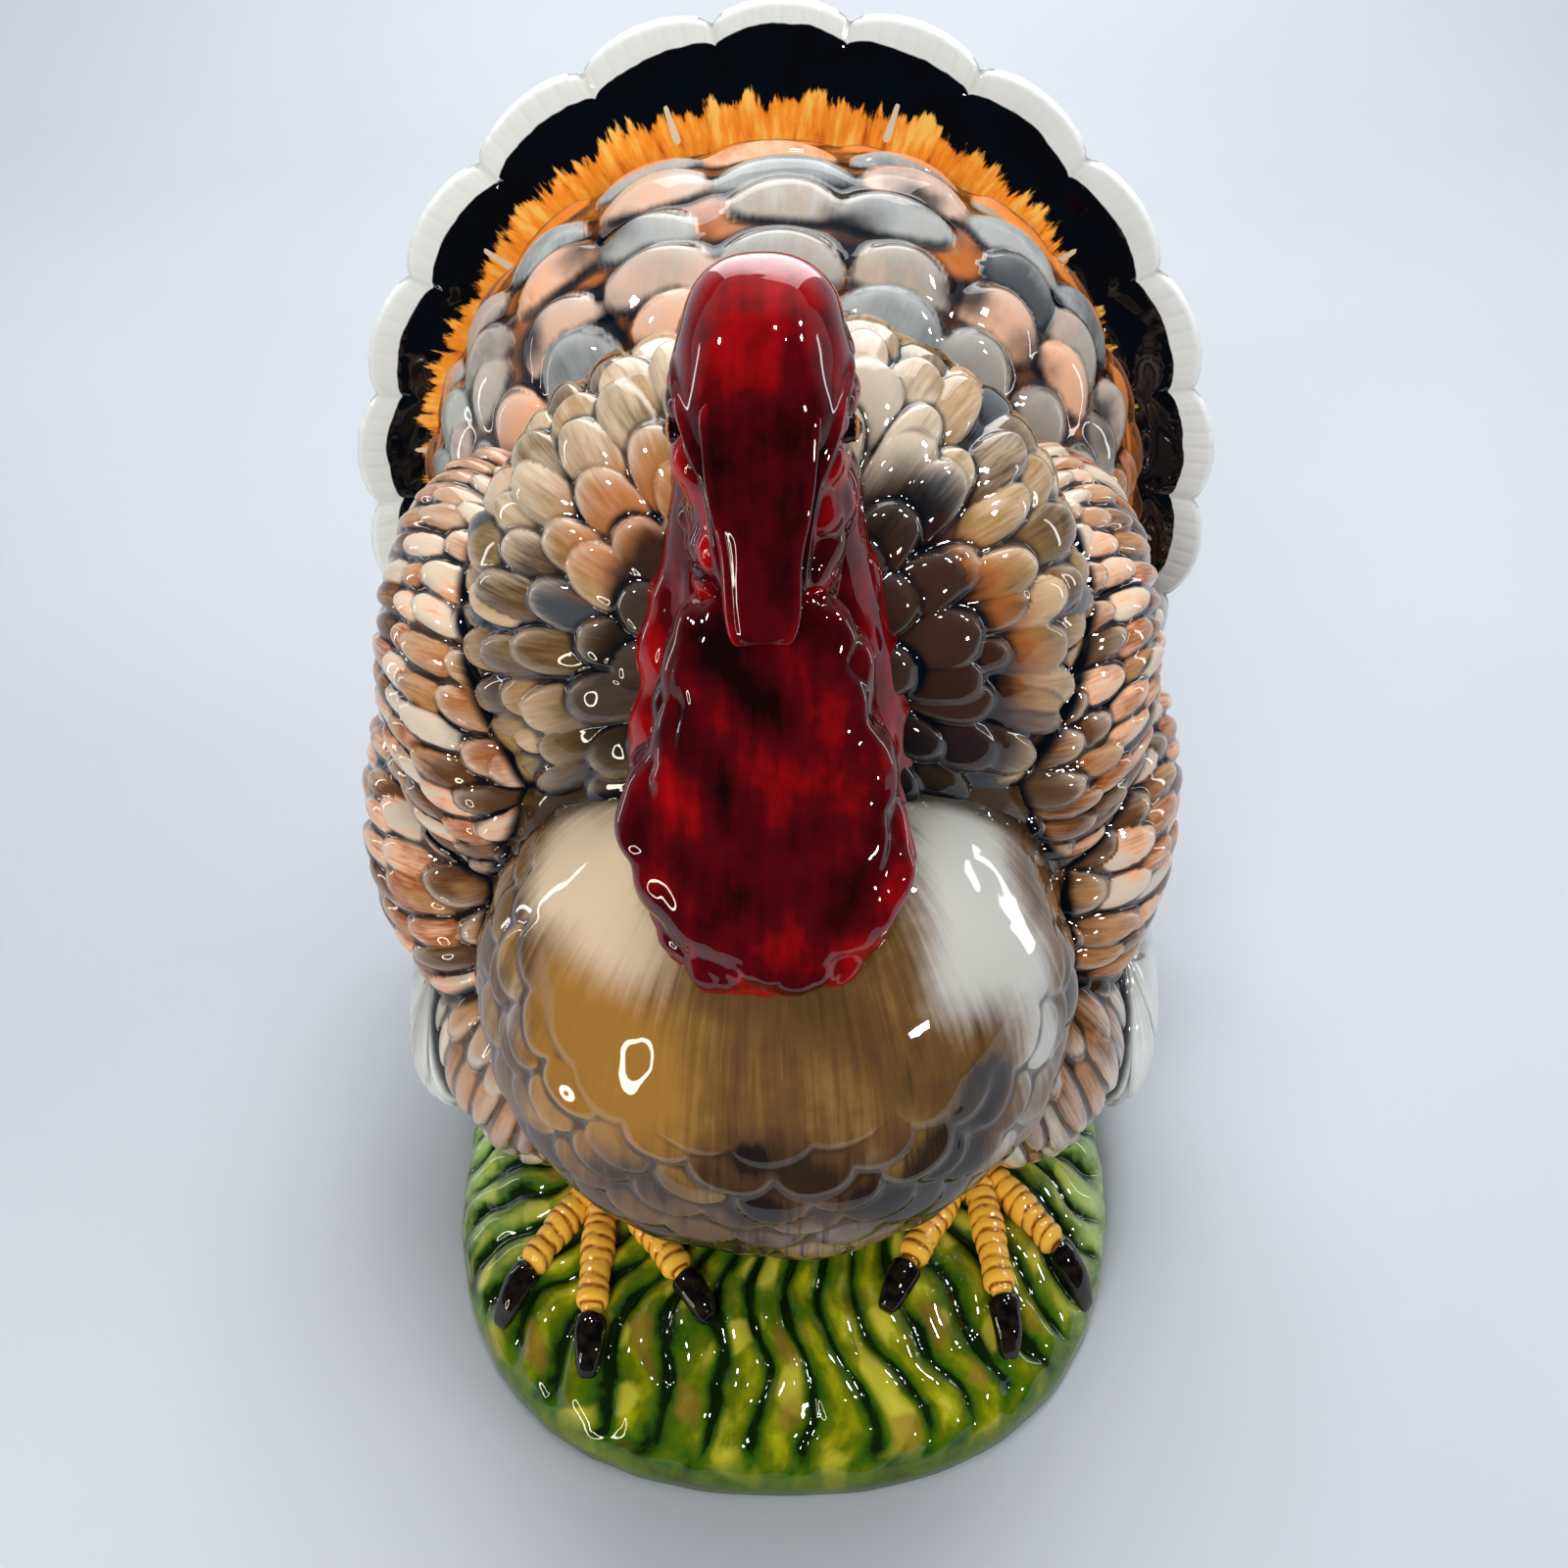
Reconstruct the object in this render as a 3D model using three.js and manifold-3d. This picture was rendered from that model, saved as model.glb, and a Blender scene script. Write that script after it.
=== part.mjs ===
// A hollow glazed ceramic turkey in full strut, standing on a mound of grass.
// Millimetres, +Z up. The turkey looks along -Y, so its left wing is at +X.
// The origin is the middle of the mound's flat underside.

import * as THREE from 'three';
import { mergeVertices } from 'three/addons/utils/BufferGeometryUtils.js';
import Module from 'manifold-3d';

const wasm = await Module();
wasm.setup();

// Walls and joints of the casting, and how far cutting shapes run past what they cut
const wall = 3.5;
const moundWall = 4.5;
const joint = 0.3;
const overrun = 4;
const cutReach = 330;
const weldTolerance = 0.001;
const crowdSteps = 40;

// Grass mound
const moundHalfWidth = 121;
const moundHalfLength = 140;
const moundHeight = 46;
const moundFoot = 5;
const moundFloor = 4.5;
const moundSquareness = 2.4;
const moundCurvePowers = { out: 2.6, up: 0.5 };
const moundRingShares = [0, 0.42, 0.58, 0.72, 0.85, 0.96, 1];
const ridgeCount = 48;
const ridgeDepth = 3;
const ridgeStartShares = [0.42, 0.62];
const ridgeSwingAngle = 2.4;
const ridgeSwingCount = 2.2;
const ridgeTwistAngle = 115;
const ridgeTwistCount = 3;
const ventRadius = 9;
const ventPlace = 70;
const chestRadius = 26;
const chestPlace = 10;

// Body: a torso and a breast joined into one hollow shell
const torsoPlace = 30;
const torsoSink = 6;
const torsoHalfWidth = 100;
const torsoFront = 130;
const torsoBack = 138;
const torsoUp = 100;
const torsoDown = 110;
const breastLead = 72;
const breastDrop = 10;
const breastHalfWidth = 93;
const breastDepth = 87;
const breastHalfHeight = 88;

// Cape: the feathered dome of the back, behind the neck
const capeLead = 10;
const capeRise = 78;
const capeHalfWidth = 96;
const capeFront = 80;
const capeBack = 92;
const capeUp = 96;
const capeDown = 92;

// Tail: a dome of coverts before a cupped fan, and a rump behind it
const tailTrail = 155;
const covertRise = 47;
const covertFront = 130;
const covertDown = 96;
const covertColumnCount = 32;
const covertCrowdShare = 0.45;
const covertRowCount = 7;
const covertRowStart = 88;
const covertRowSpacing = 22;
const covertRelief = 4;
const covertShapeShares = { lift: 1.3, dome: 0.6, fall: 10, width: 0.54, floor: 0.45, crest: 1.46 };
const covertShapePower = 2.6;
const covertRingShares = [0.1, 0.6, 0.97];
const fanBareSide = 25;
const fanBareTop = 37;
const rumpDrop = 14;
const rumpHalfWidth = 84;
const rumpBack = 34;
const rumpUp = 78;
const rumpDown = 62;
const fanRadius = 165;
const fanRise = 55;
const fanThickness = 8;
const fanRimThickness = 5;
const fanLeanAngle = 12.68;
const fanCupRadius = 480;
const fanScallop = 7;
const scallopCount = 24;
const scallopCrowdShare = 0.17;
const scallopSteps = 4;
const fanRingShares = [0.45, 0.8, 1];
const fanDrop = 87;

// Wings: a shoulder, a lower lobe and drooped pale quills, and a flank, on each side
const wingShift = -3.5;
const shoulderInset = 14;
const shoulderTrail = 12;
const shoulderRise = 52;
const shoulderHalfWidth = 43;
const shoulderHalfLength = 80;
const shoulderHalfHeight = 50;
const shoulderPitchAngle = 22;
const shoulderYawAngle = 9;
const wingInset = 4;
const wingTrail = 10;
const wingDrop = 2;
const wingHalfWidth = 46;
const wingHalfLength = 84;
const wingHalfHeight = 48;
const wingPitchAngle = 20;
const wingYawAngle = 7;
const quillOutset = 18;
const quillTrail = 4;
const quillDrop = 80;
const quillHalfWidth = 19;
const quillHalfLength = 70;
const quillHalfHeight = 46;
const quillPitchAngle = -16;
const flankInset = 22;
const flankLead = 46;
const flankDrop = 60;
const flankHalfWidth = 40;
const flankHalfLength = 48;
const flankHalfHeight = 52;

// Neck, head and their fleshy parts
const neckPlace = -40;
const neckSink = 46;
const neckHalfWidth = 45;
const neckHalfDepth = 29;
const neckHeight = 118;
const neckTopShift = -6;
const headLead = 5;
const headSink = 4;
const headHalfWidth = 23;
const headFront = 34;
const headBack = 32;
const headUp = 48;
const headDown = 44;
const headFullnessShare = 0.72;
const wattleHeight = 98;
const wattleHalfWidth = 38;
const wattleDepth = 25;
const wattleSink = 55;
const wattleLead = 60;
const wattleTopShift = 38;
const snoodLength = 60;
const snoodHalfWidth = 14;
const snoodDepth = 8;
const snoodTopShift = 15.6;
const snoodProud = 1.5;
const beakLength = 42;
const beakHalfWidth = 9;
const beakHalfHeight = 8;
const beakPitchAngle = 156;
const beakDrop = 18;
const eyeRadius = 4.2;
const eyeSink = 2;
const eyeForward = 12;
const eyeRise = 12;

// Feet: a short shank, three ringed toes and three claws on each side
const shankRadius = 9;
const shankFlare = 3;
const shankReach = 40;
const toeRadius = 6.2;
const toeSink = 2.4;
const clawLength = 16;
const clawRadius = 5.2;
const clawDroop = 3;
const clawOverlap = 3;
const toeLengths = { outer: 43, middle: 54, inner: 53 };
const toeAngles = { outer: 41.5, middle: 4.5, inner: -32.5 };
const footTurnAngle = 3.5;
const rightFootInset = 39;
const rightFootPlace = -46;
const leftFootInset = 33;
const leftFootPlace = -38;
const feet = {
  right: { spread: torsoHalfWidth - rightFootInset, place: rightFootPlace, turn: -footTurnAngle },
  left: { spread: torsoHalfWidth - leftFootInset, place: leftFootPlace, turn: footTurnAngle },
};

// Counts of the sides of the round shapes, and for lobes also of their rings
const sideCounts = {
  mound: 2 * ridgeCount, hollowMound: 20, moundCut: 72, plug: 20, opening: 24, neck: 16, wattle: 16,
  snood: 10, beak: 8, shank: 10, toe: 8, claw: 7, bend: 12,
};
const lobeCounts = {
  body: [24, 14], cape: [20, 14], coverts: [20, 12], rump: [16, 10], wing: [16, 10],
  flank: [14, 8], quills: [14, 8], head: [16, 12], eye: [8, 6],
};
const insideFacetShare = 0.7;

// Glaze colours
const glaze = {
  grass: 0x4f7d1f,
  toe: 0xc98a2a,
  claw: 0x14120f,
  breast: 0x9a7a4c,
  cape: 0xb08a5e,
  wing: 0x8a5a35,
  quill: 0xc9c6bd,
  tail: 0xb98d63,
  fan: 0x1a2028,
  flesh: 0x7d0f18,
  snood: 0x4a0810,
  beak: 0x6d4a2a,
  eye: 0x0c0a09,
};

const radians = Math.PI / 180;

// Finish of one glazed piece
function glazed(colour) {
  return new THREE.MeshStandardMaterial({ color: colour, roughness: 0.15, metalness: 0 });
}

// Solid of a closed geometry whose shared vertices are joined
function solidOf(geometry) {
  geometry.deleteAttribute('normal');
  geometry.deleteAttribute('uv');
  const merged = mergeVertices(geometry, weldTolerance);
  const corners = merged.getIndex().array;
  const kept = [];
  for (let i = 0; i < corners.length; i += 3) {
    const [a, b, c] = [corners[i], corners[i + 1], corners[i + 2]];
    if (a !== b && b !== c && c !== a) kept.push(a, b, c);
  }
  return new wasm.Manifold(new wasm.Mesh({
    numProp: 3,
    vertProperties: new Float32Array(merged.getAttribute('position').array),
    triVerts: new Uint32Array(kept),
  }));
}

// Geometry of a solid
function geometryOf(solid) {
  const mesh = solid.getMesh();
  const geometry = new THREE.BufferGeometry();
  geometry.setAttribute('position', new THREE.BufferAttribute(new Float32Array(mesh.vertProperties), 3));
  geometry.setIndex(new THREE.BufferAttribute(new Uint32Array(mesh.triVerts), 1));
  geometry.computeVertexNormals();
  return geometry;
}

// Moves every vertex of a geometry by a rule
function reshape(geometry, rule) {
  const places = geometry.getAttribute('position');
  const point = new THREE.Vector3();
  for (let i = 0; i < places.count; i += 1) {
    point.fromBufferAttribute(places, i);
    rule(point);
    places.setXYZ(i, point.x, point.y, point.z);
  }
  return geometry;
}

// Turn by pitch about X, then yaw about Z, then a move to a place
function placement(at, pitch = 0, yaw = 0) {
  const turn = new THREE.Matrix4().makeRotationZ(yaw * radians);
  turn.multiply(new THREE.Matrix4().makeRotationX(pitch * radians));
  return turn.setPosition(at[0], at[1], at[2]);
}

// Egg-shaped lobe: a unit ball stretched by its own reach in each direction
function lobe(form, grow) {
  const ball = new THREE.SphereGeometry(1, ...form.facets);
  ball.rotateX(Math.PI / 2);
  const fullness = form.fullness ?? 1;
  reshape(ball, (p) => {
    p.x = Math.sign(p.x) * Math.abs(p.x) ** fullness;
    p.z = Math.sign(p.z) * Math.abs(p.z) ** fullness;
    p.x *= form.width + grow;
    p.y *= (p.y < 0 ? form.front : form.back) + grow;
    p.z *= (p.z < 0 ? form.down : form.up) + grow;
  });
  ball.applyMatrix4(placement(form.at, form.pitch, form.yaw));
  return solidOf(ball);
}

// Plan radius of the mound at an angle, for half sizes drawn in by an inset
function moundRadius(angle, inset) {
  const across = Math.abs(Math.cos(angle)) / (moundHalfWidth - inset);
  const along = Math.abs(Math.sin(angle)) / (moundHalfLength - inset);
  return (across ** moundSquareness + along ** moundSquareness) ** (-1 / moundSquareness);
}

// Height of the mound's skin above a place
function moundSkin(x, y) {
  const reach = Math.hypot(x, y) / moundRadius(Math.atan2(y, x), 0);
  const fall = Math.max(0, 1 - Math.min(1, reach) ** moundCurvePowers.out);
  return moundFoot + (moundHeight - moundFoot) * fall ** moundCurvePowers.up;
}

// How far the grass ridges swing aside at a share of the mound's reach, as an angle
function ridgeSwing(share, angle) {
  const twist = ridgeTwistAngle * radians * Math.sin(ridgeTwistCount * angle);
  return ridgeSwingAngle * radians * Math.sin(2 * Math.PI * ridgeSwingCount * share + twist);
}

// Depth of the troughs between the grass ridges at a share of the mound's reach
function ridgeTrough(share, angle) {
  const [start, full] = ridgeStartShares;
  const swell = share < 1 ? Math.min(1, Math.max(0, (share - start) / (full - start))) : 0;
  return ridgeDepth * swell * (1 - Math.abs(Math.cos(angle * ridgeCount / 2)));
}

// Mound body above a level, drawn in by an inset, with its grass ridges if they are asked for
function moundBody(inset, bottom, segments, ridged) {
  const top = moundHeight - inset;
  const shoulder = Math.max(moundFoot - inset, bottom + joint);
  const profile = [new THREE.Vector2(0, bottom), new THREE.Vector2(1, bottom)];
  for (const share of [...moundRingShares].reverse()) {
    const rise = (1 - share ** moundCurvePowers.out) ** moundCurvePowers.up;
    profile.push(new THREE.Vector2(share, shoulder + (top - shoulder) * rise));
  }
  const body = new THREE.LatheGeometry(profile, segments);
  body.rotateX(Math.PI / 2);
  reshape(body, (p) => {
    const share = Math.min(1, Math.hypot(p.x, p.y));
    const angle = Math.atan2(p.y, p.x);
    const ridges = ridged && p.z > shoulder;
    if (ridges) p.z -= ridgeTrough(share, angle);
    const way = ridges ? angle + ridgeSwing(share, angle) : angle;
    const reach = share * moundRadius(way, inset);
    p.x = reach * Math.cos(way);
    p.y = reach * Math.sin(way);
  });
  return solidOf(body);
}

// Angle from the top whose even spacing is stretched there by a share
function crowded(even, share) {
  let angle = even;
  for (let step = 0; step < crowdSteps; step += 1) angle = even + share * Math.sin(angle);
  return angle;
}

// Upright round plug for holes through a wall
function plug(x, y, radius, bottom, top) {
  const bar = new THREE.CylinderGeometry(radius, radius, top - bottom, sideCounts.plug);
  bar.rotateX(Math.PI / 2);
  bar.translate(x, y, (top + bottom) / 2);
  return solidOf(bar);
}

// Places worked out from the sizes above
const covertDepth = covertRelief * (covertShapeShares.crest - covertShapeShares.floor);
const torsoHeight = moundHeight - torsoSink + torsoDown;
const fanPlace = torsoPlace + tailTrail;
const fanHeight = torsoHeight + fanRise;
const torso = {
  at: [0, torsoPlace, torsoHeight],
  width: torsoHalfWidth, front: torsoFront, back: torsoBack, up: torsoUp, down: torsoDown,
  facets: lobeCounts.body,
};
const breast = {
  at: [0, torsoPlace - breastLead, torsoHeight - breastDrop],
  width: breastHalfWidth, front: breastDepth, back: breastDepth,
  up: breastHalfHeight, down: breastHalfHeight, facets: lobeCounts.body,
};
const cape = {
  at: [0, torsoPlace - capeLead, torsoHeight + capeRise],
  width: capeHalfWidth, front: capeFront, back: capeBack, up: capeUp, down: capeDown,
  facets: lobeCounts.cape,
};
const coverts = {
  at: [0, fanPlace, torsoHeight + covertRise],
  width: fanRadius - fanBareSide, front: covertFront, back: covertFront,
  up: fanRadius - fanBareTop, down: covertDown,
  facets: lobeCounts.coverts,
};
const rump = {
  at: [0, fanPlace, torsoHeight - rumpDrop],
  width: rumpHalfWidth, front: rumpBack, back: rumpBack, up: rumpUp, down: rumpDown,
  facets: lobeCounts.rump,
};
const neckFoot = [neckPlace, torsoHeight + torsoUp - neckSink];
const wattleFoot = [neckPlace - wattleLead, torsoHeight + torsoUp - wattleSink];
const head = {
  at: [0, neckPlace + neckTopShift + headLead, neckFoot[1] + neckHeight - headSink],
  width: headHalfWidth, front: headFront, back: headBack, up: headUp, down: headDown,
  fullness: headFullnessShare, facets: lobeCounts.head,
};
const snoodFoot = [
  head.at[1] - headFront - snoodProud - snoodTopShift / 2,
  head.at[2] + headUp / 2 - snoodLength + snoodDepth,
];

// Forms of one side's wing and flank, mirrored by the sign of the side
function wingForms(sign) {
  const wingMiddle = sign * torsoHalfWidth + wingShift;
  const shoulder = {
    at: [wingMiddle - sign * shoulderInset, torsoPlace + shoulderTrail, torsoHeight + shoulderRise],
    width: shoulderHalfWidth, front: shoulderHalfLength, back: shoulderHalfLength,
    up: shoulderHalfHeight, down: shoulderHalfHeight,
    pitch: shoulderPitchAngle, yaw: -sign * shoulderYawAngle, facets: lobeCounts.wing,
  };
  const lower = {
    at: [wingMiddle - sign * wingInset, torsoPlace + wingTrail, torsoHeight - wingDrop],
    width: wingHalfWidth, front: wingHalfLength, back: wingHalfLength,
    up: wingHalfHeight, down: wingHalfHeight,
    pitch: wingPitchAngle, yaw: -sign * wingYawAngle, facets: lobeCounts.wing,
  };
  const quills = {
    at: [sign * (torsoHalfWidth + quillOutset), torsoPlace + quillTrail, torsoHeight - quillDrop],
    width: quillHalfWidth, front: quillHalfLength, back: quillHalfLength,
    up: quillHalfHeight, down: quillHalfHeight, pitch: quillPitchAngle, facets: lobeCounts.quills,
  };
  const flank = {
    at: [sign * (torsoHalfWidth - flankInset), torsoPlace - flankLead, torsoHeight - flankDrop],
    width: flankHalfWidth, front: flankHalfLength, back: flankHalfLength,
    up: flankHalfHeight, down: flankHalfHeight, facets: lobeCounts.flank,
  };
  return { shoulder, lower, quills, flank };
}

// Outlines of the turned pieces: radius and height, in shares of each piece's own sizes
const neckShares = [[0, 0], [1, 0], [0.97, 0.22], [0.86, 0.42], [0.66, 0.68], [0.5, 1], [0, 1]];
const wattleShares = [
  [0, 0], [0.32, 0.01], [0.6, 0.06], [0.82, 0.16], [0.98, 0.29], [1, 0.38],
  [0.9, 0.54], [0.76, 0.68], [0.64, 0.82], [0.52, 0.94], [0.3, 1], [0, 1],
];
const snoodShares = [
  [0, 0], [0.5, 0.01], [0.6, 0.08], [0.68, 0.35], [0.92, 0.66], [1, 0.84], [0.6, 0.97], [0, 1],
];
const beakShares = [[0, 0], [1, 0], [0.9, 0.3], [0.62, 0.65], [0.3, 0.93], [0, 1]];
const toeShares = [[0, 0], [1, 0.02], [0.84, 0.34], [1, 0.52], [0.8, 0.7], [0.92, 0.86], [0, 1]];
const clawShares = [[0, 0], [1, 0.06], [0.92, 0.4], [0.6, 0.78], [0, 1]];
const shankShares = [[0, 0], [1, 0], [0.75, 0.3], [0.75, 1], [0, 1]];

// Height of the covert feathers at a way out from the dome's front, in shares of their relief
function featherRise(way, across) {
  const shape = covertShapeShares;
  const heights = [shape.floor];
  for (let row = 0; row < covertRowCount; row += 1) {
    const along = (way - covertRowStart) / covertRowSpacing - row;
    const reach = Math.hypot(along, across / shape.width);
    const dome = shape.dome * Math.sqrt(Math.max(0, 1 - reach ** covertShapePower));
    heights.push(shape.lift * along + dome - shape.fall * Math.max(0, reach - 1));
  }
  return Math.max(...heights);
}

// Dome of coverts about its front, under columns of feathers that are widest at the top
function covertBulk(grow) {
  const ways = [0, covertRowStart - covertRowSpacing];
  for (let row = 0; row < covertRowCount; row += 1) {
    ways.push(...covertRingShares.map((share) => covertRowStart + (row + share) * covertRowSpacing));
  }
  const profile = ways.map((way) => {
    const angle = way / coverts.front;
    return new THREE.Vector2(Math.sin(angle), -Math.cos(angle));
  });
  profile.push(new THREE.Vector2(0, 1));
  const dome = new THREE.LatheGeometry(profile, 2 * covertColumnCount);
  reshape(dome, (p) => {
    const way = Math.acos(Math.min(1, Math.max(-1, -p.y))) * coverts.front;
    const turn = Math.atan2(p.x, p.z);
    const across = Math.abs(Math.sin(turn * covertColumnCount / 2)) / 2;
    const drop = covertRelief * (covertShapeShares.crest - featherRise(way, across));
    const place = crowded(turn, covertCrowdShare);
    const out = Math.hypot(p.x, p.z);
    p.x = out * Math.sin(place) * (coverts.width - drop + grow);
    p.y *= coverts.front - drop + grow;
    const up = out * Math.cos(place);
    p.z = up * ((up < 0 ? coverts.down : coverts.up) - drop + grow);
  });
  dome.applyMatrix4(placement(coverts.at));
  return solidOf(dome);
}

// Upright turned piece, wider than it is deep where its sizes say so
function turned(outline, height, width, depth, segments) {
  const profile = outline.map(([r, h]) => new THREE.Vector2(r, h));
  const body = new THREE.LatheGeometry(profile, segments);
  body.rotateX(Math.PI / 2);
  return reshape(body, (p) => {
    p.x *= width;
    p.y *= depth;
    p.z *= height;
  });
}

// Solid of the torso and breast together, grown or drawn in
function bodyBulk(grow) {
  return lobe(torso, grow).add(lobe(breast, grow));
}

// Takes a point of the flat disc to the leaning fan, cupped forward at its sides
function fanBend(p) {
  const lean = fanLeanAngle * radians;
  p.y += fanPlace + p.z * Math.sin(lean) - p.x ** 2 / (2 * fanCupRadius);
  p.z = fanHeight + p.z * Math.cos(lean);
}

// Fan plate with a scalloped edge, thinner at its rim
function fanPlate(grow) {
  const front = [new THREE.Vector2(0, -fanThickness / 2 - grow)];
  const back = [new THREE.Vector2(0, fanThickness / 2 + grow)];
  for (const share of fanRingShares) {
    const half = (fanThickness + (fanRimThickness - fanThickness) * share * share) / 2 + grow;
    front.push(new THREE.Vector2(share * (fanRadius + grow), -half));
    back.push(new THREE.Vector2(share * (fanRadius + grow), half));
  }
  const plate = new THREE.LatheGeometry([...front, ...back.reverse()], scallopCount * scallopSteps);
  reshape(plate, (p) => {
    const even = Math.atan2(p.x, p.z);
    const lift = Math.abs(Math.cos(even * scallopCount / 2));
    const reach = Math.hypot(p.x, p.z);
    const notch = fanScallop * (1 - Math.sqrt(lift)) * (reach / fanRadius) ** 4;
    const angle = crowded(even, scallopCrowdShare);
    p.x = reach * (1 - notch / fanRadius) * Math.sin(angle);
    p.z = reach * (1 - notch / fanRadius) * Math.cos(angle);
  });
  return solidOf(reshape(plate, fanBend));
}

// What is open in the fan: all below its lower edge, and the way between the hollows
function fanOpening() {
  const below = new THREE.BoxGeometry(cutReach, cutReach, cutReach);
  below.translate(0, fanPlace, fanHeight - fanDrop - cutReach / 2);
  const way = new THREE.CylinderGeometry(1, 1, 1, sideCounts.opening);
  reshape(way, (p) => {
    p.x *= rump.width - 2 * wall;
    p.y = fanPlace + cutReach * p.y;
    p.z = rump.at[2] + p.z * ((p.z < 0 ? rump.down : rump.up) - 2 * wall);
  });
  return solidOf(below).add(solidOf(way));
}

// Everything behind the fan's middle surface, moved back by a shift
function behindFan(shift) {
  const block = new THREE.BoxGeometry(1, 1, 1, sideCounts.bend, 1, 1);
  reshape(block, (p) => {
    const back = p.y < 0 ? shift : cutReach;
    p.set(2 * cutReach * p.x, 0, 2 * cutReach * p.z);
    fanBend(p);
    p.y += back;
  });
  return solidOf(block);
}

// Neck column, grown or drawn in
function neckBulk(grow) {
  const [height, width, depth] = [neckHeight + grow, neckHalfWidth + grow, neckHalfDepth + grow];
  const body = turned(neckShares, height, width, depth, sideCounts.neck);
  reshape(body, (p) => {
    p.y += neckFoot[0] + neckTopShift * p.z / neckHeight;
    p.z += neckFoot[1];
  });
  return solidOf(body);
}

// Wattle, grown or drawn in, leaning back from its foot
function wattleBulk(grow) {
  const [height, width, depth] = [wattleHeight + 2 * grow, wattleHalfWidth + grow, wattleDepth + grow];
  const body = turned(wattleShares, height, width, depth, sideCounts.wattle);
  reshape(body, (p) => {
    p.y += wattleFoot[0] + wattleTopShift * p.z / wattleHeight;
    p.z += wattleFoot[1] - grow;
  });
  return solidOf(body);
}

// Snood lying down the face
function snoodBulk(grow) {
  const [length, width, depth] = [snoodLength + 2 * grow, snoodHalfWidth + grow, snoodDepth + grow];
  const body = turned(snoodShares, length, width, depth, sideCounts.snood);
  reshape(body, (p) => {
    p.y += snoodFoot[0] + snoodTopShift * p.z / snoodLength;
    p.z += snoodFoot[1] - grow;
  });
  return solidOf(body);
}

// Closed beak, pointing down and forward under the snood
function beakBody(grow) {
  const [length, width, depth] = [beakLength + grow, beakHalfWidth + grow, beakHalfHeight + grow];
  const body = turned(beakShares, length, width, depth, sideCounts.beak);
  body.applyMatrix4(new THREE.Matrix4().makeRotationX(beakPitchAngle * radians));
  body.translate(0, head.at[1] - headFront / 2, head.at[2] - beakDrop);
  return solidOf(body);
}

// Eye ball set in the side of the head
function eyeBall(sign) {
  const forward = eyeForward / headFront;
  const rise = eyeRise / headUp;
  const out = headHalfWidth * Math.sqrt(1 - forward ** 2 - rise ** 2) ** headFullnessShare - eyeSink;
  const ball = new THREE.SphereGeometry(eyeRadius, ...lobeCounts.eye);
  ball.translate(sign * out, head.at[1] - eyeForward, head.at[2] + eyeRise);
  return solidOf(ball);
}

// Lays an upright turned piece along a foot's direction, on the mound's skin
function layOnMound(body, foot, sign, which, start, droop) {
  const turn = (toeAngles[which] + foot.turn) * radians;
  const along = [sign * Math.sin(turn), -Math.cos(turn)];
  const side = [-along[1], along[0]];
  return reshape(body, (p) => {
    const reach = start + p.z;
    const x = sign * foot.spread + along[0] * reach;
    const y = foot.place + along[1] * reach;
    const fall = droop * (p.z / clawLength) ** 2;
    const lift = moundSkin(x, y) + toeRadius - toeSink - fall;
    p.z = lift + p.y;
    p.y = y + side[1] * p.x;
    p.x = x + side[0] * p.x;
  });
}

// Toe with knuckle swellings
function toeBody(foot, sign, which, grow) {
  const radius = toeRadius + grow;
  const body = turned(toeShares, toeLengths[which] + grow, radius, radius, sideCounts.toe);
  return solidOf(layOnMound(body, foot, sign, which, 0, 0));
}

// Claw at a toe's end
function clawBody(foot, sign, which) {
  const body = turned(clawShares, clawLength, clawRadius, clawRadius, sideCounts.claw);
  const start = toeLengths[which] - clawOverlap;
  return solidOf(layOnMound(body, foot, sign, which, start, clawDroop));
}

// Short leg between the mound and the body
function shankBody(foot, sign, grow) {
  const radius = shankRadius + shankFlare + grow;
  const body = turned(shankShares, shankReach, radius, radius, sideCounts.shank);
  const x = sign * foot.spread;
  body.translate(x, foot.place, moundSkin(x, foot.place) - overrun);
  return solidOf(body);
}

// Grass mound, hollow inside, with a vent below and a hole into the body above
function grassMound() {
  const inside = moundBody(moundWall + ridgeDepth, moundFloor, sideCounts.hollowMound, false);
  const vent = plug(0, ventPlace, ventRadius, -overrun, moundFloor + overrun);
  const chest = plug(0, chestPlace, chestRadius, moundHeight / 2, moundHeight + overrun);
  return moundBody(0, 0, sideCounts.mound, true).subtract(inside).subtract(vent).subtract(chest);
}

const turkey = new THREE.Group();

// Adds one named piece, cut clear of the pieces that it meets
function add(name, colour, solid, cuts = []) {
  const cleared = cuts.reduce((rest, cut) => rest.subtract(cut), solid);
  const mesh = new THREE.Mesh(geometryOf(cleared), glazed(colour));
  mesh.name = name;
  turkey.add(mesh);
  return cleared;
}

const moundCut = moundBody(-joint, -joint, sideCounts.moundCut, false);
const bodyCut = bodyBulk(joint);
const capeCut = lobe(cape, joint);
const covertCut = covertBulk(joint);
const neckCut = neckBulk(joint);
const headCut = lobe(head, joint);
const fanCut = fanPlate(joint);
const beakCut = beakBody(joint);

// Form with fewer facets, for the inside of a hollow
function coarser(form) {
  return { ...form, facets: form.facets.map((count) => Math.ceil(count * insideFacetShare)) };
}

// Body shell, opened where the hollow parts sit on it
function bodyShell() {
  const inside = lobe(coarser(torso), -wall).add(lobe(coarser(breast), -wall));
  const shell = bodyBulk(0).subtract(inside);
  const windows = [
    lobe(cape, -2 * wall),
    lobe(coverts, -covertDepth - 2 * wall),
    plug(0, chestPlace, chestRadius, 0, torsoHeight - torsoDown / 2),
  ];
  return windows.reduce((rest, cut) => rest.subtract(cut), shell);
}

// Hollow lobe of one wall thickness
function hollow(form) {
  return lobe(form, 0).subtract(lobe(coarser(form), -wall));
}

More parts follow.
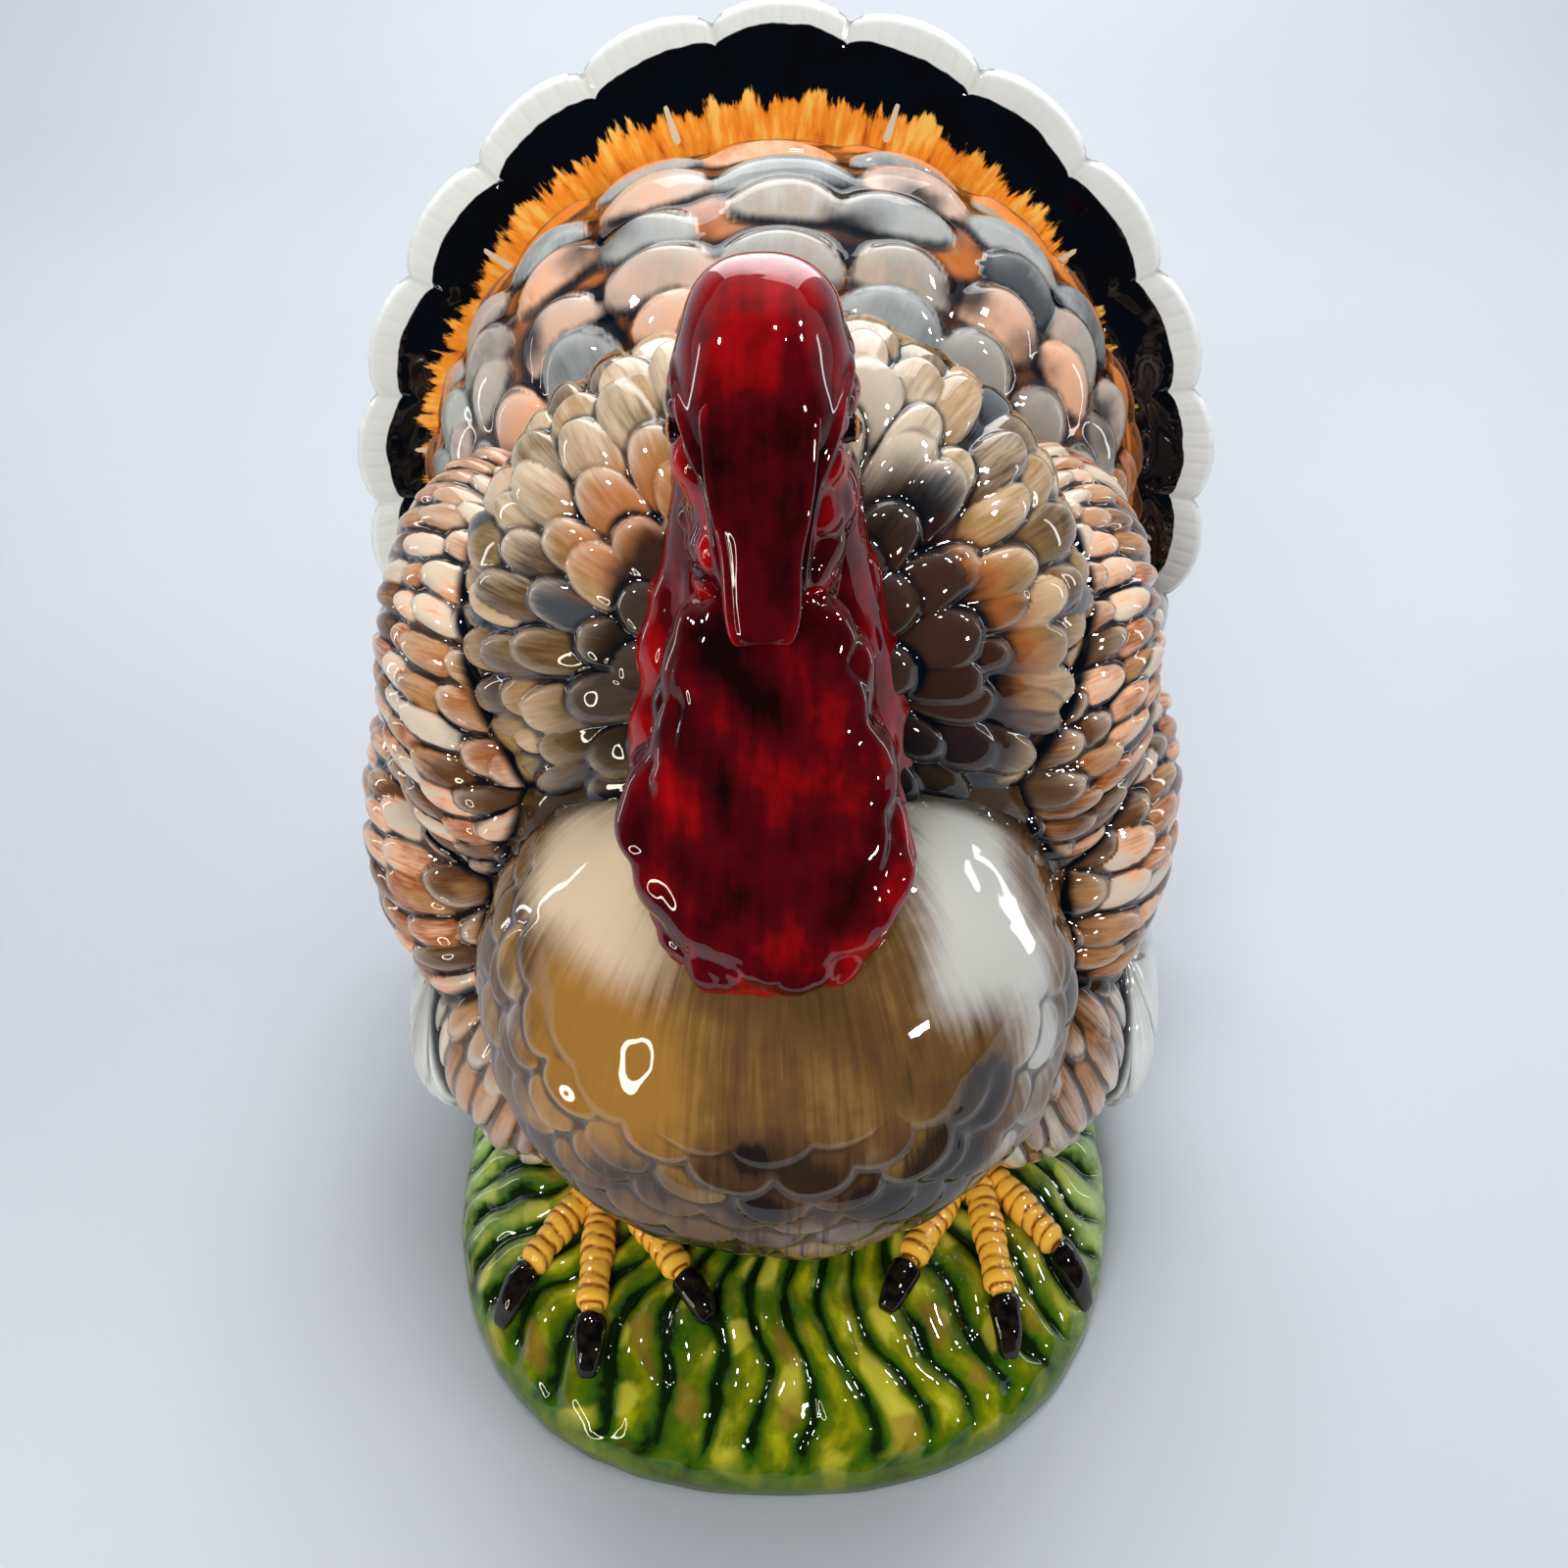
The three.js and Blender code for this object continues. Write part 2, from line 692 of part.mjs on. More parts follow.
// Hollow dome of coverts, whose wall is measured from its deepest crevices
function covertDome() {
  return covertBulk(0).subtract(lobe(coverts, -covertDepth - wall));
}

// Mound, body, cape and tail
add('grass_mound', glaze.grass, grassMound());
add('body_shell', glaze.breast, bodyShell(), [moundCut]);
add('back_cape', glaze.cape, hollow(cape), [bodyCut, neckCut, headCut, beakCut]);
add('tail_covert_dome', glaze.tail, covertDome(), [bodyCut, capeCut, fanCut, behindFan(-joint / 2)]);
add('tail_fan', glaze.fan, fanPlate(0), [fanOpening(), bodyCut]);
const rumpBehind = hollow(rump).intersect(behindFan(joint / 2));
add('rump_coverts', glaze.tail, rumpBehind, [fanCut, bodyCut, moundCut]);

// Wing, flank and foot of each side: the right side is at -X
for (const [side, sign] of Object.entries({ right: -1, left: 1 })) {
  const forms = wingForms(sign);
  const shoulderCut = lobe(forms.shoulder, joint);
  const lowerCut = lobe(forms.lower, joint);
  const flankCut = lobe(forms.flank, joint);
  const trunk = [bodyCut, capeCut, covertCut, fanCut, moundCut];
  add(`${side}_wing_shoulder`, glaze.wing, hollow(forms.shoulder), trunk);
  add(`${side}_lower_wing`, glaze.wing, hollow(forms.lower), [...trunk, shoulderCut]);
  add(`${side}_flank`, glaze.breast, hollow(forms.flank), [...trunk, lowerCut]);
  add(`${side}_wing_quills`, glaze.quill, hollow(forms.quills), [...trunk, lowerCut, flankCut]);

  const foot = feet[side];
  const carried = [moundCut, bodyCut, flankCut];
  const shankCut = shankBody(foot, sign, joint);
  const middleCut = toeBody(foot, sign, 'middle', joint);
  add(`${side}_shank`, glaze.toe, shankBody(foot, sign, 0), carried);
  for (const which of Object.keys(toeLengths)) {
    const toeCuts = which === 'middle' ? [shankCut] : [shankCut, middleCut];
    const clawCuts = [moundCut, toeBody(foot, sign, which, joint)];
    add(`${side}_${which}_toe`, glaze.toe, toeBody(foot, sign, which, 0), [...carried, ...toeCuts]);
    add(`${side}_${which}_claw`, glaze.claw, clawBody(foot, sign, which), clawCuts);
  }
}

// Neck, head and their fleshy parts, each cut by the ones that carry it
const snoodCut = snoodBulk(joint);
add('neck', glaze.flesh, neckBulk(0).subtract(neckBulk(-wall)), [bodyCut, headCut]);
add('head', glaze.flesh, hollow(head), [neckBulk(-wall)]);
add('snood', glaze.snood, snoodBulk(0), [headCut]);
add('beak', glaze.beak, beakBody(0), [headCut, snoodCut, neckCut]);
const wattleCuts = [bodyCut, capeCut, neckCut, headCut, snoodCut, beakCut];
add('wattle', glaze.flesh, wattleBulk(0).subtract(wattleBulk(-wall)), wattleCuts);
add('right_eye', glaze.eye, eyeBall(-1), [headCut]);
add('left_eye', glaze.eye, eyeBall(1), [headCut]);

export default turkey;
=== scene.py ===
# Looks of a hollow glazed ceramic turkey in full strut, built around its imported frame.
# Metres, +Z up. The turkey looks along -Y, so its left wing is at +X.

import math

import bpy
import numpy as np
from mathutils import Color, Matrix, Vector


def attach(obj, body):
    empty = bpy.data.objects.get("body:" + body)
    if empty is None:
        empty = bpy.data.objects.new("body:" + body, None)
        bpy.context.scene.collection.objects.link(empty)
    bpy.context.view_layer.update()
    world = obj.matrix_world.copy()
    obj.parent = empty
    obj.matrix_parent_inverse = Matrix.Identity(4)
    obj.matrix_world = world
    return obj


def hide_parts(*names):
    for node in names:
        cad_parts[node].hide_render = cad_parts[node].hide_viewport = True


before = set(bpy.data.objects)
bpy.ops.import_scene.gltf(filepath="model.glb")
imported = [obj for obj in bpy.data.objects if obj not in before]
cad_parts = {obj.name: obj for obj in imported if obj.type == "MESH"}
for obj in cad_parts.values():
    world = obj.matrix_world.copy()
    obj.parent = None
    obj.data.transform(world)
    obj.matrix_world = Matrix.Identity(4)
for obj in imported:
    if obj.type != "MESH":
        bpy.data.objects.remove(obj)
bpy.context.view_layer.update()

# Grass mound
MOUND_HALF_WIDTH = 0.121
MOUND_HALF_LENGTH = 0.140
MOUND_HEIGHT = 0.046
MOUND_FOOT = 0.005
MOUND_SQUARENESS = 2.4
MOUND_OUT_POWER = 2.6
MOUND_UP_POWER = 0.5
FOOT_BEVEL = 0.0012
VENT_RADIUS = 0.009
VENT_PLACE = 0.070
VENT_DEPTH = 0.0045
RIDGE_COUNT = 48
RIDGE_COLUMNS = 15
MOUND_ROWS = (18, 66)
MOUND_ROW_SHARES = (0.12, 0.5)
FLAT = 1e-5
VENT_ROOM_SHARE = 1.01
RIDGE_DEPTH = 0.0038
RIDGE_START_SHARES = (0.32, 0.62)
RIDGE_SWING_ANGLE = math.radians(2.4)
RIDGE_SWING_COUNT = 2.2
RIDGE_TWIST_ANGLE = math.radians(115)
RIDGE_TWIST_COUNT = 3
RIDGE_WANDER_SIZES = (0.05, 0.025)
GRASS_RIPPLE_SIZE = 0.02
GRASS_RIPPLE = 0.0003
GRASS_SINK = 0.0004
BLADE_SIZE = 0.025
BURNT_SIZE = 0.03

# Body: torso and breast
TORSO_PLACE = 0.030
TORSO_SINK = 0.006
TORSO_HALF_WIDTH = 0.100
TORSO_DOWN = 0.110
TORSO_HEIGHT = MOUND_HEIGHT - TORSO_SINK + TORSO_DOWN
TORSO_UP = 0.100
WING_SHIFT = -0.0035

# Fan
FAN_BEHIND = 0.155
FAN_PLACE = TORSO_PLACE + FAN_BEHIND
FAN_ABOVE = 0.055
FAN_HEIGHT = TORSO_HEIGHT + FAN_ABOVE
FAN_RADIUS = 0.165
FAN_THICKNESS = 0.008
FAN_RIM_THICKNESS = 0.005
FAN_LEAN_ANGLE = math.radians(12.68)
FAN_CUP_RADIUS = 0.480
FAN_SCALLOP = 0.007
FAN_DROP = 0.087
FAN_GAP = 0.0003
SCALLOP_COUNT = 24
BARB_COUNT = 7
GROOVE_WIDTH_SHARE = 1 / 28
FAN_COLUMNS = 900
FAN_ROWS = (5, 60)
FAN_ROW_SHARES = (0.02, 0.58, 1)
SCALLOP_CROWD_SHARE = 0.17
CROWD_STEPS = 40

# Relief and paint of the fan. Zones are depths in from its rim, or reaches past the start of its dark band
RIM_ZONE = (0.016, 0.008)
RIM_EDGE = 0.0022
RIM_DEPTH = 0.011
RIM_TOP_CHANGE = 0.003
RIM_WAVER = 0.003
RIM_BLUR = 0.0003
GROOVE_ZONE = (0.02, 0.009)
GROOVE_DEPTH = 0.0011
BARB_DEPTH = 0.0003
DISH_DEPTH = 0.0008
ROUGH_ZONES = ((0.030, 0.020), (0.006, 0.012))
ROUGH_DEPTH = 0.0005
ROUGH_RIPPLE = 0.0002
ROUGH_SIZE = 0.03
BAND_RADIUS = 0.131
BAND_LEFT_CHANGE = 0.009
BAND_RIPPLE = 0.002
BAND_RIPPLE_SIZE = 0.5
BAND_RAGGED = (0.026, 0.014)
BAND_SHIFT = 0.006
BAND_BLUR = (-0.0016, 0.0012)
SPIKE_ZONES = ((-0.010, -0.007), (0.006, 0.004))
SPIKE_WIDTH_SHARE = 0.028
SPIKE_NARROWING = 1.6

# Coverts: columns of feathers about the dome's front
COVERT_COLUMNS = 32
COVERT_CELLS = (20, 146)
COVERT_CROWD_SHARE = 0.45
COVERT_START = 0.088
COVERT_SPACING = 0.022
COVERT_END = 0.250
COVERT_RELIEF = 0.004
COVERT_CREST_SHARE = 1.46
COVERT_INSET = 0.025
COVERT_TOP_INSET = 0.037
COVERT_FILLET = (0.0035, 0.0005)

# Head and its fleshy parts
NECK_PLACE = -0.040
NECK_SINK = 0.046
NECK_FOOT = TORSO_HEIGHT + TORSO_UP - NECK_SINK
NECK_HEIGHT = 0.118
NECK_HALF_WIDTH = 0.045
NECK_HALF_DEPTH = 0.029
NECK_TOP_SHIFT = -0.006
HEAD_BEHIND = 0.005
HEAD_SINK = 0.004
WATTLE_AHEAD = 0.060
WATTLE_PLACE = NECK_PLACE - WATTLE_AHEAD
WATTLE_SINK = 0.055
WATTLE_FOOT = TORSO_HEIGHT + TORSO_UP - WATTLE_SINK
WATTLE_HEIGHT = 0.098
WATTLE_HALF_WIDTH = 0.038
WATTLE_DEPTH = 0.025
WATTLE_TOP_SHIFT = 0.038
SNOOD_LENGTH = 0.060
SNOOD_HALF_WIDTH = 0.014
SNOOD_DEPTH = 0.008
SNOOD_TOP_SHIFT = 0.0156
SNOOD_PROUD = 0.0015
BEAK_LENGTH = 0.042
BEAK_HALF_WIDTH = 0.009
BEAK_HALF_HEIGHT = 0.008
BEAK_PITCH_ANGLE = math.radians(156)
BEAK_DROP = 0.018
MOUTH_DEPTH = 0.0006
EYE_RADIUS = 0.0042
EYE_SINK = 0.002
EYE_FORWARD = 0.012
EYE_RISE = 0.012
IRIS_SWELL = 0.00025
LID_SINK = 0.0004

# Relief of the fleshy parts
FACE_ZONE = (0.008, -0.012)
CROWN_ZONE = (0.036, 0.022)
CHEEK_BLUR = 0.003
CHEEK_LUMPS = {"size": 0.0055, "height": 0.0030, "seed": 91, "count": 260}
CHEEK_SINK = 0.0016
STRIP_RIDGE = 0.0012
HEAD_RIPPLE = 0.0003
HEAD_RIPPLE_SIZES = (0.02, 0.014)
SNOOD_EDGE = 0.0010
SNOOD_SINK = 0.0008
SNOOD_RIPPLE = 0.0002
SNOOD_RIPPLE_SIZE = 0.02
SNOOD_MELT = {"edge": 0.0008, "top": 0.0015, "sink": 0.0002}
WATTLE_LUMPS = {"size": 0.0085, "height": 0.003, "seed": 97, "count": 170}
WATTLE_FINE_LUMPS = {"size": 0.004, "height": 0.0012, "seed": 98, "count": 300}
WATTLE_SETTLE = 0.0016
WATTLE_RIPPLE = 0.0009
WATTLE_RIPPLE_SIZES = (0.025, 0.02)
NECK_LUMPS = {"size": 0.007, "height": 0.0022, "seed": 101, "count": 160}
NECK_SETTLE = 0.0014

# Feet
TOE_RADIUS = 0.0062
TOE_SINK = 0.0024
TOE_LENGTHS = {"outer": 0.043, "middle": 0.054, "inner": 0.053}
TOE_ANGLES = {"outer": 41.5, "middle": 4.5, "inner": -32.5}
TOE_RING = 0.0042
TOE_WAVES_PER_METRE = 900
CREASE_DEPTH = 0.0009
CREASE_RIPPLE_SIZE = 0.01
CLAW_LENGTH = 0.016
CLAW_RADIUS = 0.0052
CLAW_DROOP = 0.003
CLAW_OVERLAP = 0.003
CLAW_RIPPLE = 0.0003
CLAW_RIPPLE_SIZE = 0.008
SHANK_RADIUS = 0.012
SHANK_REACH = 0.040
SHANK_SINK = 0.004
SHANK_RING = 0.005
LEG_INSETS = {"right": 0.039, "left": 0.033}
FEET = {
    "right": {"sign": -1, "spread": TORSO_HALF_WIDTH - LEG_INSETS["right"], "place": -0.046, "turn": -3.5},
    "left": {"sign": 1, "spread": TORSO_HALF_WIDTH - LEG_INSETS["left"], "place": -0.038, "turn": 3.5},
}

# Seeds of ripples
SEEDS = {
    "wander": 81, "wander 2": 82, "shallow": 83, "grass": 84, "blade": 85, "burnt": 86, "rim": 71, "band": 5,
    "head": 92, "cheek": 93, "snood": 95, "wattle": 99, "throat": 100, "toe": 111, "claw": 112, "shank": 113,
}

# Columns and rows of turned pieces, and how finely their outlines are stepped and softened
TURNED_CELLS = {
    "neck": (240, 110), "snood": (200, 170), "wattle": (320, 150), "beak": (64, 60), "toe": (64, 120),
    "claw": (40, 40), "shank": (64, 80),
}
OUTLINE_STEPS = 400
OUTLINE_WINDOW = 25

# Outlines of turned pieces, as shares of half width and height
NECK_SHARES = [[0, 0], [1, 0], [0.97, 0.22], [0.86, 0.42], [0.66, 0.68], [0.5, 1], [0, 1]]
SNOOD_SHARES = [[0, 0], [0.5, 0.01], [0.6, 0.08], [0.68, 0.35], [0.92, 0.66], [1, 0.84], [0.6, 0.97], [0, 1]]
WATTLE_SHARES = [
    [0, 0], [0.32, 0.01], [0.6, 0.06], [0.82, 0.16], [0.98, 0.29], [1, 0.38],
    [0.9, 0.54], [0.76, 0.68], [0.64, 0.82], [0.52, 0.94], [0.3, 1], [0, 1],
]
BEAK_SHARES = [[0, 0], [1, 0], [0.9, 0.3], [0.62, 0.65], [0.3, 0.93], [0, 1]]
TOE_SHARES = [[0, 0], [1, 0.02], [0.84, 0.34], [1, 0.52], [0.8, 0.7], [0.92, 0.86], [0, 1]]
CLAW_SHARES = [[0, 0], [1, 0.06], [1, 0.4], [0.82, 0.78], [0.45, 0.97], [0, 1]]
SHANK_SHARES = [[0, 0], [1, 0], [0.75, 0.3], [0.75, 1], [0, 1]]

# The face's smooth strip at shares of the head's height: its share of the head's half width, and its red,
# which rises toward the crown partly as a painted sheen
STRIP_WIDTH_SHARES = [(-1.2, 0.30), (-0.9, 0.35), (-0.3, 0.43), (0.15, 0.56), (0.66, 1.02), (0.92, 1.3)]
STRIP_RED_AND_SHEEN_SHARES = [
    (-0.9, 0.45), (-0.6, 0.40), (-0.2, 0.28), (0.3, 0.22), (0.55, 0.42), (0.75, 0.62), (1.0, 0.75),
]

# Lobes: places from the torso's middle, to the side, behind and above, and half sizes
SIZE_NAMES = ("width", "front", "back", "up", "down")
LOBE_SIZES = {
    "torso": ((0, 0, 0), (TORSO_HALF_WIDTH, 0.130, 0.138, TORSO_UP, TORSO_DOWN)),
    "breast": ((0, -0.072, -0.010), (0.093, 0.087, 0.087, 0.088, 0.088)),
    "cape": ((0, -0.010, 0.078), (0.096, 0.080, 0.092, 0.096, 0.092)),
    "coverts": (
        (0, FAN_BEHIND, 0.047),
        (FAN_RADIUS - COVERT_INSET, 0.130, 0.130, FAN_RADIUS - COVERT_TOP_INSET, 0.096),
    ),
    "rump": ((0, FAN_BEHIND, -0.014), (0.084, 0.034, 0.034, 0.078, 0.062)),
}

# Lobes of one side: places from the torso's side, half sizes, shift across, and turns in degrees
WING_SIZES = {
    "shoulder": ((-0.014, 0.012, 0.052), (0.043, 0.080, 0.080, 0.050, 0.050), WING_SHIFT, 22, 9),
    "lower": ((-0.004, 0.010, -0.002), (0.046, 0.084, 0.084, 0.048, 0.048), WING_SHIFT, 20, 7),
    "quills": ((0.018, 0.004, -0.080), (0.019, 0.070, 0.070, 0.046, 0.046), 0, -16, 0),
    "flank": ((-0.022, -0.046, -0.060), (0.040, 0.048, 0.048, 0.052, 0.052), 0, 0, 0),
}
HEAD = {
    "at": (0, NECK_PLACE + NECK_TOP_SHIFT + HEAD_BEHIND, NECK_FOOT + NECK_HEIGHT - HEAD_SINK), "width": 0.023,
    "front": 0.034, "back": 0.032, "up": 0.048, "down": 0.044, "fullness": 0.72,
}
JOIN_REACH = 0.0065
TINY = 1e-12
NEAREST_SHARE = 0.05
SIDES = {"right": -1, "left": 1}

# How feathers differ from their plan, as shares of their sizes, and how paint pools beside them
FEATHER_SPREAD_SHARES = {
    "side": (-0.12, 0.12), "ahead": (-0.2, 0.2), "wide": (-0.12, 0.1), "long": (-0.15, 0.15),
    "tilt": (-0.25, 0.25), "lift": (-0.2, 0.2),
}
ROW_SHIFT_SHARE = 0.1
ROW_REACH_SHARE = 1.8
FEWEST_FEATHERS = 5
SLIM_SHARES = (0.4, 1.6)
POOL_CELLS = (1, 3)
POOL_SHARES = (2.0, 1.2)
FOUND_NAMES = ("tone", "shade", "along", "across", "reach")

# Coats of feathers. Gaps between rows and widths of feathers run from the pole outward. A grid has its
# pole, the way its first column looks, its columns, and the angle and row count of each span of rings
USUAL_COAT = {
    "count": None, "crowd": 0.0, "long": 1.1, "wide": 0.55, "taper": 0.08, "tail": 0.6, "round": 2.4,
    "edge": 2.6, "lift": 1.15, "dome": 0.7, "fall": 6, "floor": 0.1, "line": 0.09, "loose": 1.0, "soft": 1,
    "sink": 1.05, "sway": 0.0004, "sway_size": 0.05, "gather": 0.0,
}
COATS = {
    "cape": {
        "seed": 3, "gaps": (0.014, 0.018, 0.020, 0.021, 0.022),
        "widths": (0.0105, 0.0128, 0.0138, 0.014, 0.014),
        "relief": 0.0044, "crowd": 0.12, "long": 1.38, "round": 2.5, "taper": 0.14, "wide": 0.58,
        "loose": 1.3, "dome": 0.65, "gather": 0.3,
        "grid": ((0, -0.93, 0.36), (0, 0, -1), 640, [(20, 18), (118, 120), (180, 8)]),
    },
    "coverts": {
        "seed": 5, "gaps": (COVERT_SPACING,), "widths": (COVERT_SPACING,), "relief": COVERT_RELIEF,
        "count": COVERT_COLUMNS, "start": COVERT_START, "long": 1.0, "wide": 0.54, "tail": 1, "round": 2,
        "lift": 1.3, "dome": 0.6, "fall": 5, "floor": 0.45, "taper": 0, "sink": COVERT_CREST_SHARE,
        "loose": 0.9, "line": 0.26, "soft": 2,
    },
    "rump": {
        "seed": 7, "gaps": (0.018, 0.022, 0.022), "widths": (0.017, 0.02, 0.02), "relief": 0.003,
        "crowd": 0.1,
        "grid": ((0, 0.6, 0.8), (0, 0.3, -1), 300, [(20, 16), (110, 84), (180, 10)]),
    },
    "shoulder": {
        "seed": 11, "gaps": (0.012, 0.017, 0.019, 0.019), "widths": (0.0085, 0.0095, 0.010, 0.010),
        "relief": 0.0032, "long": 1.2,
        "grid": ((-0.8, -0.45, 0.4), (0, -0.3, -1), 460, [(30, 30), (140, 126), (180, 8)]),
    },
    "lower": {
        "seed": 21, "gaps": (0.014, 0.021, 0.025, 0.026), "widths": (0.0085, 0.0095, 0.010, 0.0105),
        "relief": 0.0032, "long": 1.2,
        "grid": ((-0.7, -0.45, 0.55), (0, -0.3, -1), 460, [(30, 30), (145, 132), (180, 8)]),
    },
    "flank": {
        "seed": 41, "gaps": (0.02, 0.030, 0.034, 0.034), "widths": (0.008, 0.009, 0.0095, 0.0095),
        "relief": 0.0022,
        "grid": ((-0.4, -0.2, 0.9), (1, -0.5, 0), 300, [(20, 12), (150, 120), (180, 6)]),
    },
    "quills": {
        "seed": 51, "gaps": (0.04, 0.045, 0.045), "widths": (0.012, 0.015, 0.015), "relief": 0.0014,
        "grid": ((0, -0.75, 0.65), (1, 0, 0), 260, [(20, 14), (160, 120), (180, 4)]),
    },
    "breast": {
        "seed": 61, "gaps": (0.012, 0.0115, 0.0115), "widths": (0.018, 0.021, 0.021), "relief": 0.0024,
        "taper": 0.0, "long": 1.15, "dome": 0.4, "edge": 3, "loose": 0.9, "sway": 0.0009,
        "sway_size": 0.045, "line": 0.05, "tail": 1,
        "grid": ((0, -0.72, 0.69), (0, -0.69, -0.72), 440, [(20, 16), (125, 150), (180, 8)]),
    },
    "torso": {
        "seed": 63, "gaps": (0.022, 0.024), "widths": (0.02, 0.022), "relief": 0.0022,
        "grid": ((0, -0.6, 0.8), (0, 0, -1), 170, [(60, 12), (165, 60), (180, 3)]),
    },
}
HEAD_GRID = ((0, -0.2, 1), (0, -1, 0), 340, [(20, 16), (160, 160), (180, 4)])
EYE_SPANS = [(60, 14), (180, 12)]

# Soft daubs of paint. Place and reach are shares of a lobe's half sizes, and the last is the strength
CAPE_DAUB_SHARES = {
    "dark": [
        (0.31, -0.90, 0.28, 0.33, 2.0), (0.45, -0.88, 0, 0.34, 1.6), (-0.28, -0.90, 0.34, 0.26, 1.1),
        (0.30, -0.80, 0.52, 0.24, 1.0), (-0.30, -0.75, 0.60, 0.14, 0.8), (0.42, -0.55, 0.72, 0.16, 0.6),
        (-0.50, -0.85, 0.05, 0.30, 0.6),
    ],
    "warm": [(-0.42, -0.60, 0.68, 0.30, 0.8), (0.48, -0.72, 0.48, 0.22, 1.0), (0.62, -0.75, 0.20, 0.28, 0.9)],
    "pale": [
        (0, -0.10, 1, 0.45, 0.9), (0.31, -0.40, 0.90, 0.26, 0.6), (-0.7, -0.35, 0.65, 0.35, 0.5),
        (0.75, -0.3, 0.65, 0.25, 0.4),
    ],
}
COVERT_DAUB_SHARES = {
    "pale": [(0, -0.25, 0.95, 0.30, 0.3), (-0.22, -0.15, 0.95, 0.2, 0.3), (-0.85, -0.35, 0.35, 0.3, 0.8)],
    "dark": [
        (-0.45, -0.25, 0.85, 0.14, 0.8), (0.18, -0.35, 0.90, 0.09, 1.0), (0.33, -0.15, 0.93, 0.12, 0.8),
        (0.62, -0.5, 0.6, 0.14, 0.7), (-0.62, -0.45, 0.62, 0.10, 0.9), (0.45, -0.45, 0.77, 0.08, 0.9),
        (-0.8, -0.3, 0.5, 0.16, 0.6), (0.85, -0.4, 0.35, 0.14, 0.8),
    ],
}
WING_DAUB_SHARES = {
    "warm": [(0, 0, 1, 0.6, 0.5)],
    "pale": [(0, 0.3, 0.8, 0.6, 0.6)],
    "dark": [(0.3, -0.9, 0, 0.4, 0.4), (-0.3, -0.9, 0, 0.4, 0.4)],
}
FLANK_DAUB_SHARES = {-1: {"pale": [(-1, 0, 0, 0.8, 0.1)]}, 1: {"pale": [(1, 0, 0, 0.8, 0.7)]}}
QUILL_DAUB_SHARES = {"pale": [(0, 0, 0, 1.5, 0.9)], "warm": [(-0.8, -0.55, -0.25, 0.3, 1.0)]}
BREAST_DAUB_SHARES = {
    "pale": [
        (-0.52, -0.25, 0.82, 0.26, 0.9), (-0.45, -0.50, 0.73, 0.20, 0.7), (-0.36, -0.66, 0.66, 0.14, 0.6),
        (-0.66, -0.30, 0.68, 0.16, 0.5),
    ],
    "grey": [
        (0.58, -0.20, 0.80, 0.26, 0.9), (0.62, -0.45, 0.66, 0.20, 0.9), (0.56, -0.65, 0.54, 0.15, 0.6),
        (0.78, -0.45, 0.45, 0.16, 0.8), (0.84, -0.52, 0.15, 0.14, 0.9), (0.74, -0.66, -0.12, 0.12, 0.7),
        (0.58, -0.75, -0.30, 0.12, 0.5), (-0.80, -0.50, 0.30, 0.12, 0.5),
    ],
    "warm": [
        (-0.55, -0.68, 0.48, 0.32, 0.8), (-0.41, -0.85, 0.32, 0.30, 0.7), (-0.60, -0.70, 0.05, 0.25, 0.5),
    ],
    "dark": [
        (0.66, -0.73, 0.22, 0.11, 1.3), (0.56, -0.82, 0.05, 0.12, 1.0), (0.50, -0.85, -0.12, 0.20, 1.4),
        (0.40, -0.85, 0.34, 0.14, 0.45), (-0.05, -0.99, 0.15, 0.07, 1.2), (-0.05, -0.98, -0.08, 0.10, 1.1),
        (0, -0.80, -0.60, 0.5, 0.5), (-0.5, -0.60, -0.60, 0.4, 0.4), (0.10, -0.75, 0.62, 0.22, 0.5),
        (-0.35, -0.93, -0.05, 0.12, 0.6), (0.25, -0.95, -0.05, 0.10, 0.6),
    ],
}

# Glaze colours, as red, green and blue of 255
COLOURS = {
    "rim cream": (224, 227, 224), "rim shade": (196, 198, 188), "blue black": (3, 9, 18),
    "slate": (66, 70, 74), "orange": (232, 132, 38), "deep orange": (178, 82, 26),
    "bright orange": (244, 152, 48), "yellow": (244, 190, 92), "peach": (226, 170, 134),
    "pink": (218, 146, 122), "blush": (200, 168, 150), "cool grey": (156, 160, 160),
    "pearl": (190, 190, 184), "shell": (208, 192, 172), "beige": (206, 184, 156),
    "off white": (216, 218, 214), "cream": (216, 198, 168), "tan": (176, 128, 82),
    "brown": (104, 64, 38), "bark": (84, 58, 38), "taupe": (124, 98, 58),
    "fawn": (160, 126, 80), "sand": (200, 168, 132), "rust": (170, 98, 48),
    "terracotta": (150, 80, 42), "umber": (46, 33, 20), "amber": (186, 110, 26),
    "ochre": (132, 92, 40), "olive": (104, 76, 40), "olive tan": (142, 108, 62),
    "gold": (160, 114, 50), "warm grey": (158, 146, 132), "crimson": (78, 4, 9),
    "maroon": (22, 2, 4), "bright red": (158, 8, 12), "deep green": (12, 30, 5),
    "grass green": (50, 88, 10), "leaf green": (92, 106, 8), "lime": (146, 150, 14),
    "straw": (198, 188, 62), "mint_sheen": (170, 204, 130), "toe ochre": (236, 176, 62),
    "toe brown": (112, 58, 12), "claw black": (6, 6, 8), "bisque": (218, 208, 192),
    "horn": (148, 118, 78), "floor light": (181, 185, 191), "floor shade": (173, 178, 185),
}
BRIGHTEST = 255

# Sockets of the mix node's share and colours, which its labels don't tell apart
MIX_SHARE, MIX_FIRST, MIX_SECOND, MIX_RESULT = 0, 6, 7, 2

